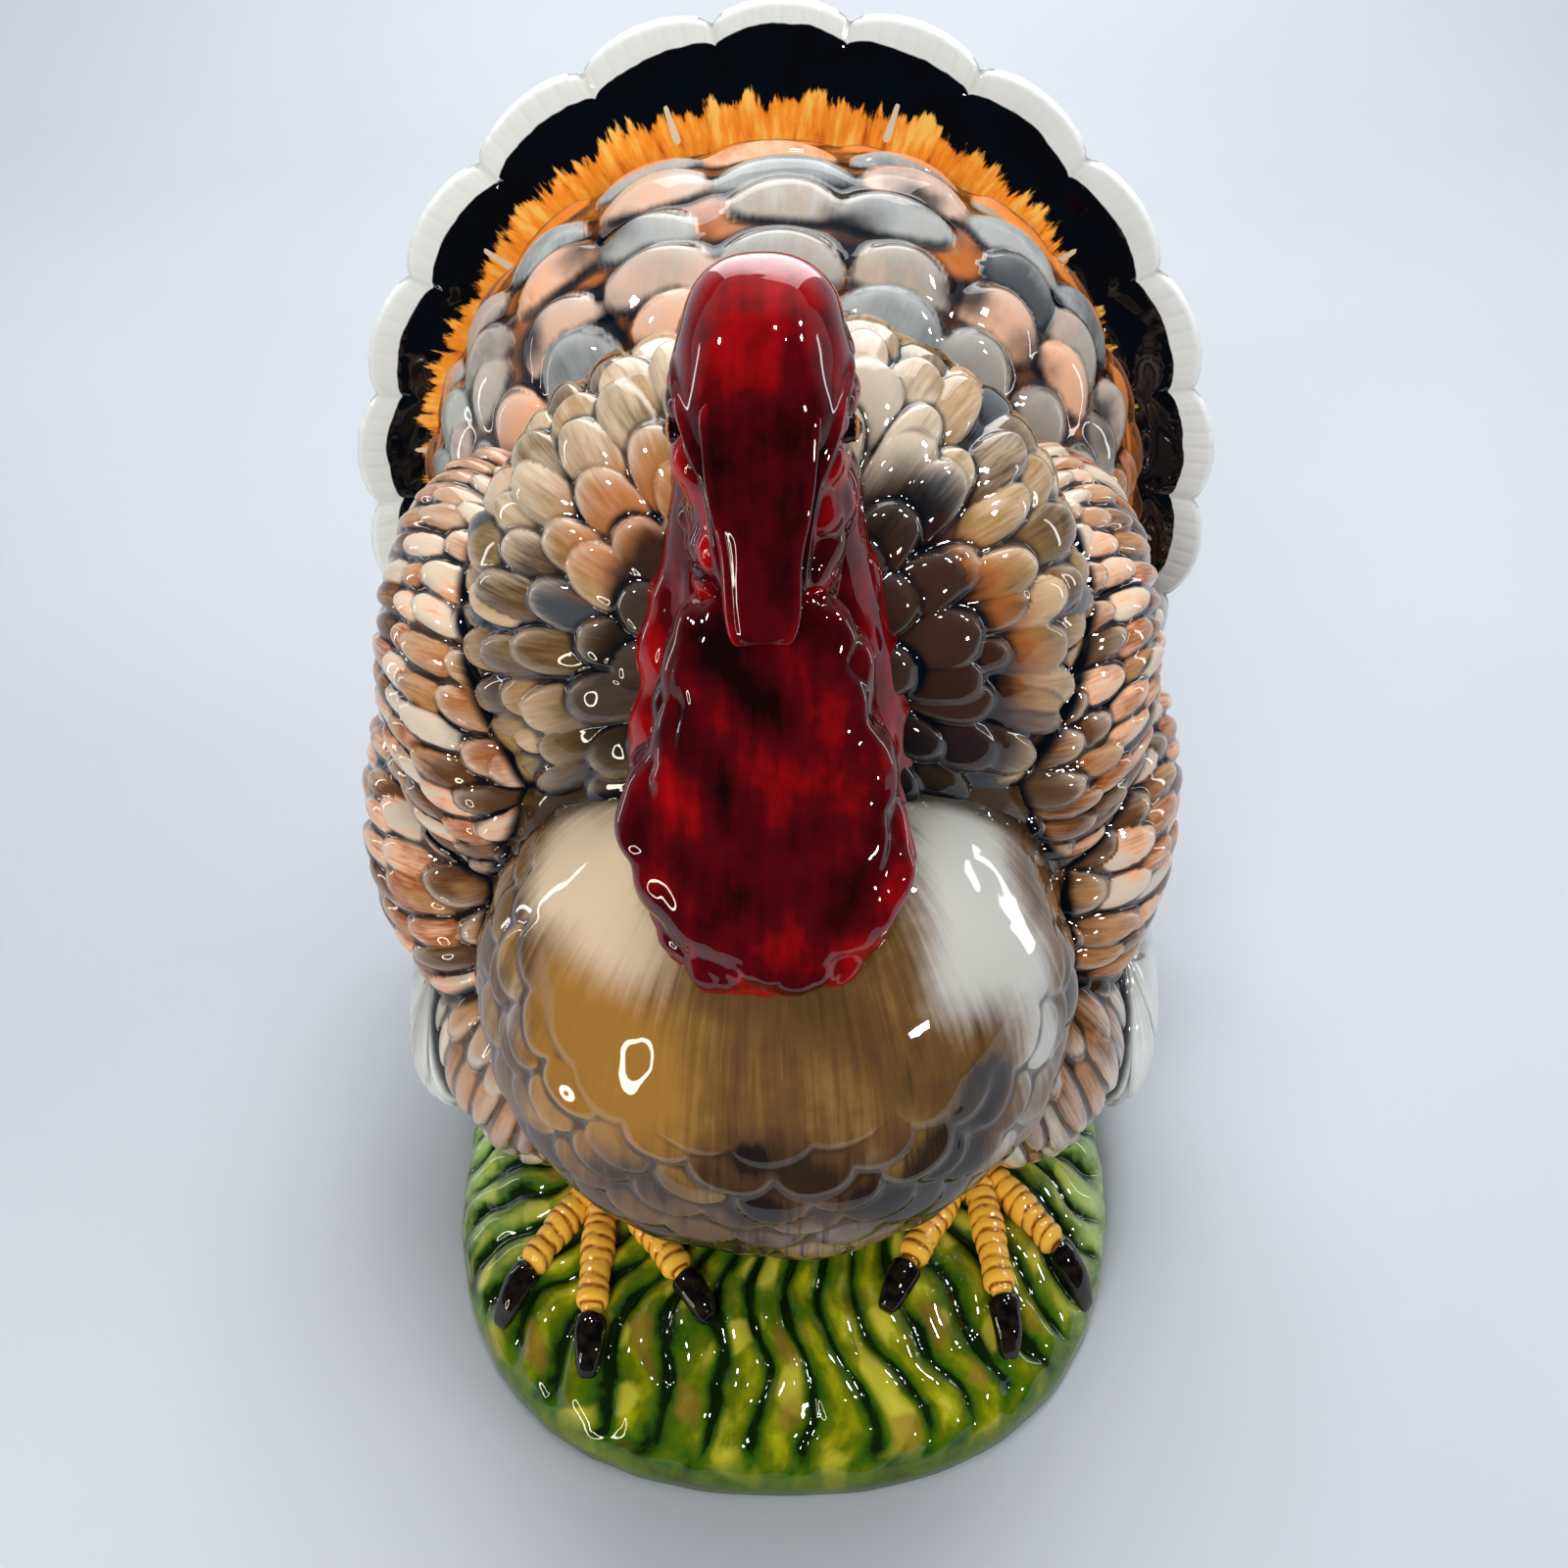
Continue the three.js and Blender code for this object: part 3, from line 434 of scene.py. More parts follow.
# Sizes of the fine peel of each glaze, and its depth
PEEL_DEPTH = 0.00012
PEEL_SIZE = 0.008
BROAD_PEEL_SIZE = 0.012
FLESH_PEEL_SIZE = 0.01
HORN_PEEL_SIZE = 0.004
TOE_PEEL_SIZE = 0.005
GRASS_PEEL_DEPTH = 0.00004
BISQUE_PEEL = {"peel": 0.0002, "peel_size": 0.002}
CLOTH_PEEL = {"peel": 0.0004, "peel_size": 0.03}
COAT_ROUGHNESS = 0.025

# Floor that bends up into a backdrop. Its cells are counted across and along
FLOOR_HALF_WIDTH = 3.0
FLOOR_SPAN = (-2.0, 4.4)
FLOOR_CELLS = (40, 60)
FLOOR_SPLIT = -0.28
BEND_START = 1.2
BEND_RADIUS = 0.8

# Lamps: place, place looked at, width, height, power, and the kind of paint that sees them
MIDDLE = (0, 0.05, 0.17)
LAMPS = {
    "overhead_soft": ((0.1, 0.35, 1.8), MIDDLE, 0.7, 0.7, 12, "matt"),
    "back_sheen": ((0, 1.5, 1.1), MIDDLE, 1.5, 1.5, 22, "mirrors"),
    "side_strip_-1": ((-1.3, 0.45, 0.25), MIDDLE, 0.06, 0.8, 1.3, "mirrors"),
    "side_strip_1": ((1.3, 0.45, 0.25), MIDDLE, 0.06, 0.8, 1.3, "mirrors"),
    "backdrop_wash": ((0, 1.0, 2.0), (0, 2.0, 0.4), 1.2, 1.2, 56, "matt"),
    "front_soft": ((-0.45, -1.4, 1.0), MIDDLE, 0.7, 0.7, 20, "matt"),
    "side_soft": ((1.4, -0.4, 0.8), MIDDLE, 0.8, 0.8, 9, "matt"),
}
GLINTS = [
    (0.10, (0.1, -0.4, 1.9)), (0.05, (0.55, -0.6, 1.5)), (0.08, (-0.9, -0.2, 1.2)),
    (0.10, (0.9, 0.1, 1.2)), (0.06, (0.85, -0.75, 0.45)), (0.06, (0.8, -0.1, 0.9)),
]
GLINT_POWER = 900
RING_LAMP = ((-0.50, -0.50, 0.10), (0, -0.1, 0.15), 0.16, 0.26, 2.5, "both")
RING_SHARES = (0.38, 0.40)
RING_COLOUR = (1, 0.93, 0.78, 1)
WORLD_SPAN = (-0.05, 0.8)
WORLD_FRONT = (0.04, 0.04, 0.045, 1)
WORLD_BACK = (0.86, 0.88, 0.94, 1)
WORLD_STRENGTH = 0.75

# Camera
CAMERA_PLACE = (0.013, -0.405, 0.498)
CAMERA_DOWN_ANGLE = math.radians(38)
CAMERA_ASIDE_ANGLE = math.atan2(16, 600)
CAMERA_ROLL_ANGLE = math.radians(-1)
SENSOR_WIDTH = 36
FOCAL_SHARE = 1640 / 1600
NEAR_CLIP = 0.01
FAR_CLIP = 50


def linear(name):
    """Scene-linear value of a named colour"""
    shares = [part / BRIGHTEST for part in COLOURS[name]]
    return [*Color(shares).from_srgb_to_scene_linear(), 1]


def smooth(low, high, value):
    """Smooth step from 0 at low to 1 at high"""
    t = np.clip((value - low) / (high - low), 0, 1)
    return t * t * (3 - 2 * t)


def bell(gap, reach):
    """1 at no gap, falling round a reach"""
    return np.exp(-((gap / reach) ** 2))


def ripple(points, size, seed, waves=14):
    """Smooth noise of about -1 to 1 at points, with waves of about a size"""
    draw = np.random.default_rng(seed)
    ways = draw.normal(size=(waves, points.shape[-1]))
    ways /= np.linalg.norm(ways, axis=1)[:, None]
    ways *= 2 * np.pi / size * draw.uniform(0.6, 1.4, waves)[:, None]
    phases = draw.uniform(0, 2 * np.pi, waves)
    return np.cos(points @ ways.T + phases).sum(-1) / math.sqrt(waves)


def crowded(even, share):
    """Angles from the top whose even spacing is stretched there by a share"""
    angle = even
    for _ in range(CROWD_STEPS):
        angle = even + share * np.sin(angle)
    return angle


# Shapes: grids of points, whose rows are closed rings


def grid_normals(points):
    """Outward normals of a grid whose columns close round"""
    around = np.roll(points, -1, 1) - np.roll(points, 1, 1)
    normals = np.cross(np.gradient(points, axis=0), around)
    normals = normals / np.maximum(np.linalg.norm(normals, axis=-1, keepdims=True), TINY)
    inward = ((points - points.mean((0, 1))) * normals).sum() < 0
    return -normals if inward else normals


def raised(points, relief):
    """Points of a grid moved outward by a relief"""
    return points + grid_normals(points) * relief[..., None]


def quad_faces(grid):
    """Faces between the rows and columns of a grid of point numbers"""
    return np.stack([grid[:-1, :-1], grid[:-1, 1:], grid[1:, 1:], grid[1:, :-1]], -1).reshape(-1, 4)


def shell(rings, ends, **values):
    """Closed skin of rings between two end points, with values for each point"""
    rows, columns = rings.shape[:2]
    count = rows * columns
    grid = np.arange(count).reshape(rows, columns)
    round_grid = np.hstack([grid, grid[:, :1]])
    after = round_grid[:, 1:]
    start = np.stack([after[0], grid[0], np.full(columns, count)], -1)
    end = np.stack([grid[-1], after[-1], np.full(columns, count + 1)], -1)
    full = {}
    for name, value in values.items():
        value = np.broadcast_to(value, (rows, columns))
        full[name] = np.concatenate([value.reshape(-1), [value[0].mean(), value[-1].mean()]])
    return {
        "points": np.vstack([rings.reshape(-1, 3), *ends]), "quads": quad_faces(round_grid),
        "threes": np.vstack([start, end]), "values": full,
    }


def joined(first, second):
    """Two skins as one, where values that the second lacks are 0"""
    shift = len(first["points"])
    values = {}
    for name, value in first["values"].items():
        values[name] = np.concatenate([value, second["values"].get(name, np.zeros(len(second["points"])))])
    return {
        "points": np.vstack([first["points"], second["points"]]), "values": values,
        "quads": np.vstack([first["quads"], second["quads"] + shift]),
        "threes": np.vstack([first["threes"], second["threes"] + shift]),
    }


def outward(skin):
    """Skin with its faces turned to look out"""
    a, b, c, d = [skin["points"][skin["quads"][:, corner]] for corner in range(4)]
    volume = (a * np.cross(b, c)).sum() + (a * np.cross(c, d)).sum()
    if volume < 0:
        skin["quads"] = skin["quads"][:, ::-1]
        skin["threes"] = skin["threes"][:, ::-1]
    return skin


def mesh_object(name, points, faces, materials):
    """Smooth object of points and faces"""
    mesh = bpy.data.meshes.new(name)
    mesh.from_pydata(points.tolist(), [], faces)
    mesh.polygons.foreach_set("use_smooth", np.ones(len(faces), dtype=bool))
    for material in materials:
        mesh.materials.append(material)
    obj = bpy.data.objects.new(name, mesh)
    bpy.context.scene.collection.objects.link(obj)
    return obj


def piece(name, skin, nodes, materials, choose=None):
    """Object of a skin, which stands for CAD nodes and wears a material"""
    skin = outward(skin)
    obj = mesh_object(name, skin["points"], skin["quads"].tolist() + skin["threes"].tolist(), materials)
    for label, value in skin["values"].items():
        layer = obj.data.attributes.new(label, "FLOAT", "POINT")
        layer.data.foreach_set("value", value.astype(np.float32))
    if choose is not None:
        obj.data.polygons.foreach_set("material_index", choose(obj.data).astype(np.int32))
    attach(obj, "root")
    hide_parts(*nodes)
    return obj


# Lobes


def body_lobe(place, sizes, start=0, **more):
    """Form of a lobe, placed from a start across the torso's middle"""
    side, behind, above = place
    form = dict(zip(SIZE_NAMES, sizes))
    form["at"] = (start + side, TORSO_PLACE + behind, TORSO_HEIGHT + above)
    return {**form, **more}


TORSO, BREAST, CAPE, COVERTS, RUMP = [
    body_lobe(*LOBE_SIZES[name]) for name in ("torso", "breast", "cape", "coverts", "rump")
]


def mirrored(way, sign):
    """Place or way of the left side, taken to the side of a sign, or to the middle by 0"""
    return (sign * way[0], *way[1:])


def wing_forms(sign):
    """Forms of one side's wing and flank"""
    forms = {}
    for name, (place, sizes, shift, pitch, yaw) in WING_SIZES.items():
        start = sign * TORSO_HALF_WIDTH + shift
        forms[name] = body_lobe(mirrored(place, sign), sizes, start, pitch=pitch, yaw=-sign * yaw)
    return forms


def lobe_turn(form):
    """Rotation of a lobe: about Z after about X"""
    pitch = Matrix.Rotation(math.radians(form.get("pitch", 0)), 3, "X")
    yaw = Matrix.Rotation(math.radians(form.get("yaw", 0)), 3, "Z")
    return np.array(yaw @ pitch)


def lobe_points(form, ways):
    """Places on an egg-shaped lobe, the way the part's source makes it"""
    full = form.get("fullness", 1)
    x, y, z = ways[..., 0], ways[..., 1], ways[..., 2]
    x = np.sign(x) * np.abs(x) ** full * form["width"]
    y = y * np.where(y < 0, form["front"], form["back"])
    z = np.sign(z) * np.abs(z) ** full * np.where(z < 0, form["down"], form["up"])
    return np.stack([x, y, z], -1) @ lobe_turn(form).T + np.array(form["at"])


def lobe_shares(form, points):
    """Points in a lobe's own axes, as shares of its half sizes"""
    local = (points - np.array(form["at"])) @ lobe_turn(form)
    x, y, z = local[..., 0], local[..., 1], local[..., 2]
    y = y / np.where(y < 0, form["front"], form["back"])
    return np.stack([x / form["width"], y, z / np.where(z < 0, form["down"], form["up"])], -1)


def nearness(points, form, reach):
    """1 for points on a lobe's skin, falling to 0 at a reach from it"""
    share = np.linalg.norm(lobe_shares(form, points), axis=-1)
    gap = np.linalg.norm(points - np.array(form["at"]), axis=-1) * (1 - 1 / np.maximum(share, NEAREST_SHARE))
    return smooth(reach, 0, np.abs(gap))


def joins(points, form):
    """1 where points meet the skin of another lobe"""
    lobes = [TORSO, BREAST, CAPE, COVERTS, RUMP, *wing_forms(-1).values(), *wing_forms(1).values()]
    meets = [nearness(points, other, JOIN_REACH) for other in lobes if other["at"] != form["at"]]
    return np.max(meets, axis=0)


def daubed(form, points, daub_shares):
    """Pale, warm, dark and grey paint, from soft daubs placed by shares of a lobe's half sizes"""
    shares = lobe_shares(form, points)
    paint = {kind: np.zeros(points.shape[:-1]) for kind in ("pale", "warm", "dark", "grey")}
    for kind, daubs in daub_shares.items():
        for *place, reach, strength in daubs:
            gap = np.linalg.norm(shares - np.array(place), axis=-1)
            paint[kind] += strength * bell(gap, reach)
    return paint


def measured(points, turns, ends):
    """Grid of rings with how far each point is from the first end, and how long each ring is"""
    steps = np.linalg.norm(np.diff(points, axis=0), axis=-1)
    first = np.linalg.norm(points[0] - ends[0], axis=-1)
    return {
        "points": points, "turns": turns, "ends": ends,
        "far": np.vstack([first, first + np.cumsum(steps, axis=0)]),
        "rounds": np.linalg.norm(np.roll(points, -1, 1) - points, axis=-1).sum(1),
    }


def lobe_grid(form, pole, toward, columns, spans, gather=0.0):
    """Rings of a lobe about a pole. Each span has an angle in degrees that it ends at, and a count"""
    pole = np.array(pole, dtype=float)
    pole /= np.linalg.norm(pole)
    side = np.array(toward, dtype=float)
    side -= pole * (side @ pole)
    side /= np.linalg.norm(side)
    other = np.cross(pole, side)
    rises = [np.zeros(1)]
    for end, count in spans:
        rises.append(np.linspace(rises[-1][-1], math.radians(end), count + 1)[1:])
    rises = np.concatenate(rises)[1:-1, None, None]
    turns = np.linspace(0, 2 * np.pi, columns, endpoint=False)
    turns = turns + gather * np.sin(turns)
    across = np.cos(turns)[:, None] * side + np.sin(turns)[:, None] * other
    ways = np.cos(rises) * pole + np.sin(rises) * across
    return measured(lobe_points(form, ways), turns, [lobe_points(form, pole), lobe_points(form, -pole)])


def covert_grid():
    """Rings of the dome of coverts about its front, in columns that are widest at the top"""
    cells, rows = COVERT_CELLS
    evens = np.linspace(0, 2 * np.pi, COVERT_COLUMNS * cells, endpoint=False)
    ways = np.linspace(COVERT_START - COVERT_SPACING, COVERT_END, rows)
    angles, turns = ways[:, None] / COVERTS["front"], crowded(evens, COVERT_CROWD_SHARE)[None, :]
    rise = np.where(np.cos(turns) < 0, COVERTS["down"], COVERTS["up"])
    x = np.sin(angles) * np.sin(turns) * COVERTS["width"]
    y = -np.cos(angles) * COVERTS["front"] + 0 * turns
    middle = np.array(COVERTS["at"])
    points = np.stack([x, y, np.sin(angles) * np.cos(turns) * rise], -1) + middle
    grid = measured(points, evens, [middle - np.array([0, COVERTS["front"], 0]), middle])
    grid["far"] = ways[:, None] + 0 * turns
    return grid


# Coats of feathers


def blurred(field, cells):
    """Field averaged twice over a square of cells each way, closed round its columns"""
    for _ in range(2):
        total = sum(np.roll(field, shift, 1) for shift in range(-cells, cells + 1))
        field = total / (2 * cells + 1)
        padded = np.pad(field, ((cells, cells), (0, 0)), mode="edge")
        total = sum(padded[start:start + len(field)] for start in range(2 * cells + 1))
        field = total / (2 * cells + 1)
    return field


def softened(field):
    """Field with each cell half mixed with its neighbours, closed round its columns"""
    field = field / 2 + (np.roll(field, 1, 1) + np.roll(field, -1, 1)) / 4
    padded = np.pad(field, ((1, 1), (0, 0)), mode="edge")
    return padded[1:-1] / 2 + (padded[:-2] + padded[2:]) / 4


def feather_row(draw, count, loose):
    """How each feather of a row differs from the plan"""
    row = {}
    for name, (low, high) in FEATHER_SPREAD_SHARES.items():
        row[name] = draw.uniform(low, high, count) * loose
    for name in ("tone", "shade"):
        row[name] = draw.uniform(0, 1, count)
    return row


def lay_row(field, near, passed, ahead, row, plan):
    """Lays a row of feathers over a field, where they stand highest"""
    base = np.floor(passed).astype(int)
    for step in (-1, 0, 1):
        own = {name: value[(base + step) % len(value)] for name, value in row.items()}
        side = (passed - base - step - 0.5 - own["side"]) / (plan["wide"] * (1 + own["wide"]))
        onward = (ahead - own["ahead"]) / (1 + own["long"])
        along = onward + side * own["tilt"]
        across = side - onward * own["tilt"]
        slim = np.clip(1 - plan["taper"] * along, *SLIM_SHARES)
        tail = np.where(along < 0, plan["tail"], 1)
        power = plan["round"]
        reach = (np.abs(along * tail) ** power + np.abs(across / slim) ** power) ** (1 / power)
        dome = np.sqrt(np.clip(1 - reach ** plan["edge"], 0, 1))
        rise = plan["lift"] * along + plan["dome"] * dome - plan["fall"] * np.clip(reach - 1, 0, 1)
        rise = rise + own["lift"]
        best = field["height"][near]
        wins = rise > best
        field["edge"][near] = np.where(wins, rise - best, np.minimum(field["edge"][near], best - rise))
        field["height"][near] = np.where(wins, rise, best)
        for name, value in zip(FOUND_NAMES, (own["tone"], own["shade"], along, across, reach)):
            field[name][near] = np.where(wins, value, field[name][near])


def feather_field(grid, plan, seed):
    """Relief and paint values of feathers that overlap in rows away from the grid's pole"""
    draw = np.random.default_rng(seed)
    far = grid["far"]
    middle = far.mean(1)
    turns = np.broadcast_to(grid["turns"] + plan["crowd"] * np.sin(grid["turns"]), far.shape)
    field = {name: np.zeros(far.shape) for name in FOUND_NAMES}
    field["edge"] = np.ones(far.shape)
    field["height"] = np.full(far.shape, plan["floor"])
    shares = np.linspace(0, 1, len(plan["gaps"]))
    place, row = plan["start"], 0
    while place < middle[-1]:
        gap, width = [np.interp(place / middle[-1], shares, plan[name]) for name in ("gaps", "widths")]
        count = plan["count"] or max(FEWEST_FEATHERS, round(np.interp(place, middle, grid["rounds"]) / width))
        shift = 0.5 if plan["count"] else 0.5 * row + draw.uniform(-ROW_SHIFT_SHARE, ROW_SHIFT_SHARE)
        length = gap * plan["long"]
        near = np.abs(far - place) < ROW_REACH_SHARE * length
        passed = turns[near] / (2 * np.pi) * count + shift
        ahead = (far[near] - place) / length
        lay_row(field, near, passed, ahead, feather_row(draw, count, plan["loose"]), plan)
        place += gap
        row += 1
    for _ in range(plan["soft"]):
        field["height"] = softened(field["height"])
    narrow, wide = [blurred(field["height"], cells) - field["height"] for cells in POOL_CELLS]
    field["hollow"] = np.clip(POOL_SHARES[0] * narrow + POOL_SHARES[1] * wide, -1, 1)
    field["edge"] = softened(softened(bell(field["edge"], plan["line"])))
    field["reach"] = softened(field["reach"])
    return field


def feathered(form, coat, daub_shares, grid=None, mask=None, sign=0):
    """Skin of a lobe under a coat of feathers, with its paint. The sign of a middle lobe is 0"""
    plan = {**USUAL_COAT, "start": COATS[coat]["gaps"][0] / 2, **COATS[coat]}
    if grid is None:
        pole, toward, columns, spans = plan["grid"]
        grid = lobe_grid(form, mirrored(pole, sign), mirrored(toward, sign), columns, spans, plan["gather"])
    seed = plan["seed"] + sign
    field = feather_field(grid, plan, seed)
    points = grid["points"]
    keep = np.ones(points.shape[:2]) if mask is None else mask(lobe_shares(form, points))
    relief = keep * (field["height"] - plan["sink"]) * plan["relief"]
    relief += plan["sway"] * ripple(points, plan["sway_size"], seed + 1)
    values = {name: field[name] for name in FOUND_NAMES}
    values["hollow"] = field["hollow"] * keep
    values["edge"] = field["edge"] * keep
    values["join"] = joins(points, form)
    values.update(daubed(form, points, daub_shares))
    return shell(raised(points, relief), grid["ends"], **values)


# Shader trees


def add_node(tree, kind, inputs, **settings):
    """Shader node with its settings, and with values or sockets for its inputs"""
    made = tree.nodes.new(f"ShaderNode{kind}")
    for name, setting in settings.items():
        setattr(made, name, setting)
    for name, value in inputs.items():
        if isinstance(value, bpy.types.NodeSocket):
            tree.links.new(value, made.inputs[name])
        else:
            made.inputs[name].default_value = value
    return made


class Glaze:
    """Shader tree of one glaze, with short ways to add its nodes"""

    def __init__(self, name, roughness=0.3, coat=1.0, bend=1.5, peel=PEEL_DEPTH, peel_size=PEEL_SIZE):
        self.material = bpy.data.materials.new(name)
        self.material.use_nodes = True
        self.tree = self.material.node_tree
        self.shader = self.tree.nodes["Principled BSDF"]
        settings = {
            "Roughness": roughness, "Specular IOR Level": 0, "Coat Weight": coat,
            "Coat Roughness": COAT_ROUGHNESS, "Coat IOR": bend,
        }
        for label, value in settings.items():
            self.shader.inputs[label].default_value = value
        self.place = self.add("TexCoord", {}).outputs["Object"]
        height = self.noise(self.place, 1 / peel_size, 1)
        bump = self.add("Bump", {"Strength": 1.0, "Distance": peel, "Height": height})
        self.tree.links.new(bump.outputs["Normal"], self.shader.inputs["Coat Normal"])

    def add(self, kind, inputs, **settings):
        return add_node(self.tree, kind, inputs, **settings)

    def value(self, name):
        """Value that the mesh carries under a name"""
        return self.add("Attribute", {}, attribute_name=name).outputs["Fac"]

    def math(self, operation, first, second):
        return self.add("Math", {0: first, 1: second}, operation=operation).outputs[0]

    def times(self, first, second):
        return self.math("MULTIPLY", first, second)

    def most(self, first, second):
        return self.math("MAXIMUM", first, second)

    def less(self, first, second):
        return self.math("SUBTRACT", first, second)

    def total(self, *parts):
        """Sum of values. Each part is a value or a pair of it and its share, and may be a carried name"""
        whole = None
        for part in parts:
            value, share = part if isinstance(part, tuple) else (part, 1)
            value = self.value(value) if isinstance(value, str) else value
            value = value if share == 1 else self.times(value, share)
            whole = value if whole is None else self.math("ADD", whole, value)
        return whole

    def step(self, value, low, high):
        """Smooth step from 0 at low to 1 at high, of a value or a carried name"""
        inputs = {"Value": self.total(value), "From Min": low, "From Max": high}
        return self.add("MapRange", inputs, interpolation_type="SMOOTHSTEP").outputs["Result"]

    def mix(self, share, first, second):
        """Mix of two colours, each a name or a socket"""
        first, second = [linear(side) if isinstance(side, str) else side for side in (first, second)]
        inputs = {MIX_SHARE: share, MIX_FIRST: first, MIX_SECOND: second}
        return self.add("Mix", inputs, data_type="RGBA", clamp_factor=True).outputs[MIX_RESULT]

    def coat(self, colour, over, strength, span, *parts):
        """Colour under another, which shows as far as a sum of values is through a span"""
        return self.mix(self.times(self.step(self.total(*parts), *span), strength), colour, over)

    def ramp(self, share, stops):
        """Colours at shares of a value from 0 to 1"""
        made = self.add("ValToRGB", {"Fac": share})
        bar = made.color_ramp.elements
        while len(bar) < len(stops):
            bar.new(0.5)
        for element, (spot, name) in zip(bar, stops):
            element.position = spot
            element.color = linear(name)
        return made.outputs["Color"]

    def vector(self, *parts):
        """Vector of up to three values, each as a part of a sum is"""
        inputs = {axis: self.total(part) for axis, part in enumerate(parts)}
        return self.add("CombineXYZ", inputs).outputs["Vector"]

    def noise(self, vector, scale=1.0, detail=3, roughness=0.5):
        """Noise of 0 to 1, whose scale counts its waves in a metre of a place"""
        inputs = {"Vector": vector, "Scale": scale, "Detail": detail, "Roughness": roughness}
        return self.add("TexNoise", inputs).outputs["Fac"]

    def waver(self, vector, scale=1.0, detail=3, roughness=0.5):
        """Noise of about -0.5 to 0.5"""
        return self.less(self.noise(vector, scale, detail, roughness), 0.5)

    def finish(self, colour):
        self.tree.links.new(colour, self.shader.inputs["Base Color"])
        return self.material


def feather_glaze(
    name, tones, pale, warm, gap, pool_shares=(0.04, 0.36), crest_break_and_highlight=0.22, base=0.6, tip_highlight_share=0.12, patch=0.75,
    edge_shade="bark", stray=0.9, mottle=1.0,
):
    """Glaze of feathers: a tone for each, brushed along it, pooled dark between them, with painted shade at
    their roots and edges and painted highlights at their tips and crests
    """
    paint = Glaze(name)
    carried = ("tone", "shade", "along", "across", "hollow")
    tone, shade, along, across, hollow = [paint.value(label) for label in carried]
    fine = paint.waver(paint.vector((across, 5.0), along, (shade, 40.0)), 1.6, 3, 0.6)
    broad = paint.waver(paint.vector((across, 1.3), (along, 0.8), (tone, 40.0)), 1.2, 2)
    cloud = paint.waver(paint.place, 55.0, 3)
    varied = paint.total((broad, 0.6), (fine, 0.4), (cloud, 0.7))
    colour = paint.ramp(paint.total(tone, (varied, mottle)), tones)
    colour = paint.coat(colour, warm, 0.85, (0.15, 0.8), "warm", (cloud, 0.7), (broad, stray))
    colour = paint.coat(colour, pale, 0.85, (0.2, 0.95), "pale", (fine, 0.5), (broad, 0.8), (along, 0.15))
    # Painted highlight: a pale line along the forward tip of each feather, where its raised rim would catch
    # the light
    tip_highlight = paint.step(paint.total("reach", (fine, 0.15)), 0.80, 0.98)
    colour = paint.mix(paint.times(paint.times(tip_highlight, paint.step(along, -0.2, 0.6)), tip_highlight_share), colour, pale)
    # Painted shade at each feather's root, under the tip of the feather before it, where glaze also pools
    colour = paint.coat(colour, gap, base, (-0.1, 0.7), (along, -1.0), (fine, 0.6), (broad, 0.8))
    # Paler on raised crests: partly the glaze breaking thin there, partly a painted highlight
    colour = paint.coat(colour, pale, crest_break_and_highlight, (0.02, 0.35), (hollow, -1.0), (fine, 0.1))
    # Painted shade: a darker band round each feather's outer edge
    colour = paint.coat(colour, edge_shade, 0.8, (0.92, 1.06), "reach")
    colour = paint.coat(colour, gap, 0.9, (0.25, 0.9), "dark", (cloud, 0.6), (broad, 0.6))
    # Dark between feathers and where lobes meet: glaze pooled in hollows and joins, with a painted shadow
    # along each feather's outline
    pool = paint.step(paint.total(hollow, (fine, 0.15), (cloud, 0.35)), *pool_shares)
    line = paint.step(paint.total("edge", (fine, 0.3)), 0.3, 0.95)
    join = paint.step(paint.total("join", (cloud, 0.5)), 0.3, 0.95)
    patchy = paint.step(paint.noise(paint.place, 28.0, 2), 0.40, 0.60)
    between = paint.times(paint.most(pool, line), paint.total(patch, (patchy, 1 - patch)))
    return paint.finish(paint.mix(paint.most(between, join), colour, gap))


# Cape, coverts and rump


def cape_glaze():
    tones = [(0.0, "slate"), (0.12, "bark"), (0.38, "taupe"), (0.64, "fawn"), (0.9, "sand")]
    # Cape feathers get a painted highlight along their tips
    return feather_glaze("cape_glaze", tones, "shell", "rust", "blue black", patch=0.8, tip_highlight_share=0.25)


def make_cape():
    piece("cape", feathered(CAPE, "cape", CAPE_DAUB_SHARES), ["back_cape"], [cape_glaze()])


def before_fan(points, gap):
    """How far points are in front of the fan's front face, less a gap"""
    x, z = points[..., 0], points[..., 2]
    share = np.clip(np.hypot(x, z - FAN_HEIGHT) / FAN_RADIUS, 0, 1)
    face = FAN_PLACE + (z - FAN_HEIGHT) * math.tan(FAN_LEAN_ANGLE) - x ** 2 / (2 * FAN_CUP_RADIUS)
    return face - fan_half(share) - gap - points[..., 1]


def fan_half(share):
    """Half thickness of the fan at a share of its radius"""
    return (FAN_THICKNESS + (FAN_RIM_THICKNESS - FAN_THICKNESS) * share ** 2) / 2


def covert_glaze():
    tones = [
        (0.0, "rust"), (0.12, "peach"), (0.36, "blush"), (0.54, "warm grey"), (0.74, "cool grey"),
        (0.96, "slate"),
    ]
    # Umber painted shade round the edge of each covert feather
    return feather_glaze(
        "covert_glaze", tones, "pearl", "orange", "blue black", patch=0.9, base=0.45, edge_shade="umber",
        stray=0.2, mottle=0.4,
    )


def make_coverts():
    skin = feathered(COVERTS, "coverts", COVERT_DAUB_SHARES, covert_grid())
    room = before_fan(skin["points"], FAN_GAP)
    skin["points"][:, 1] += np.minimum(room, 0)
    skin["values"]["warm"] = 1.3 * smooth(0.10, 0.03, room / FAN_RADIUS)
    skin["values"]["join"] = smooth(*COVERT_FILLET, room) * 0.6
    piece("tail_coverts", skin, ["tail_covert_dome"], [covert_glaze()])


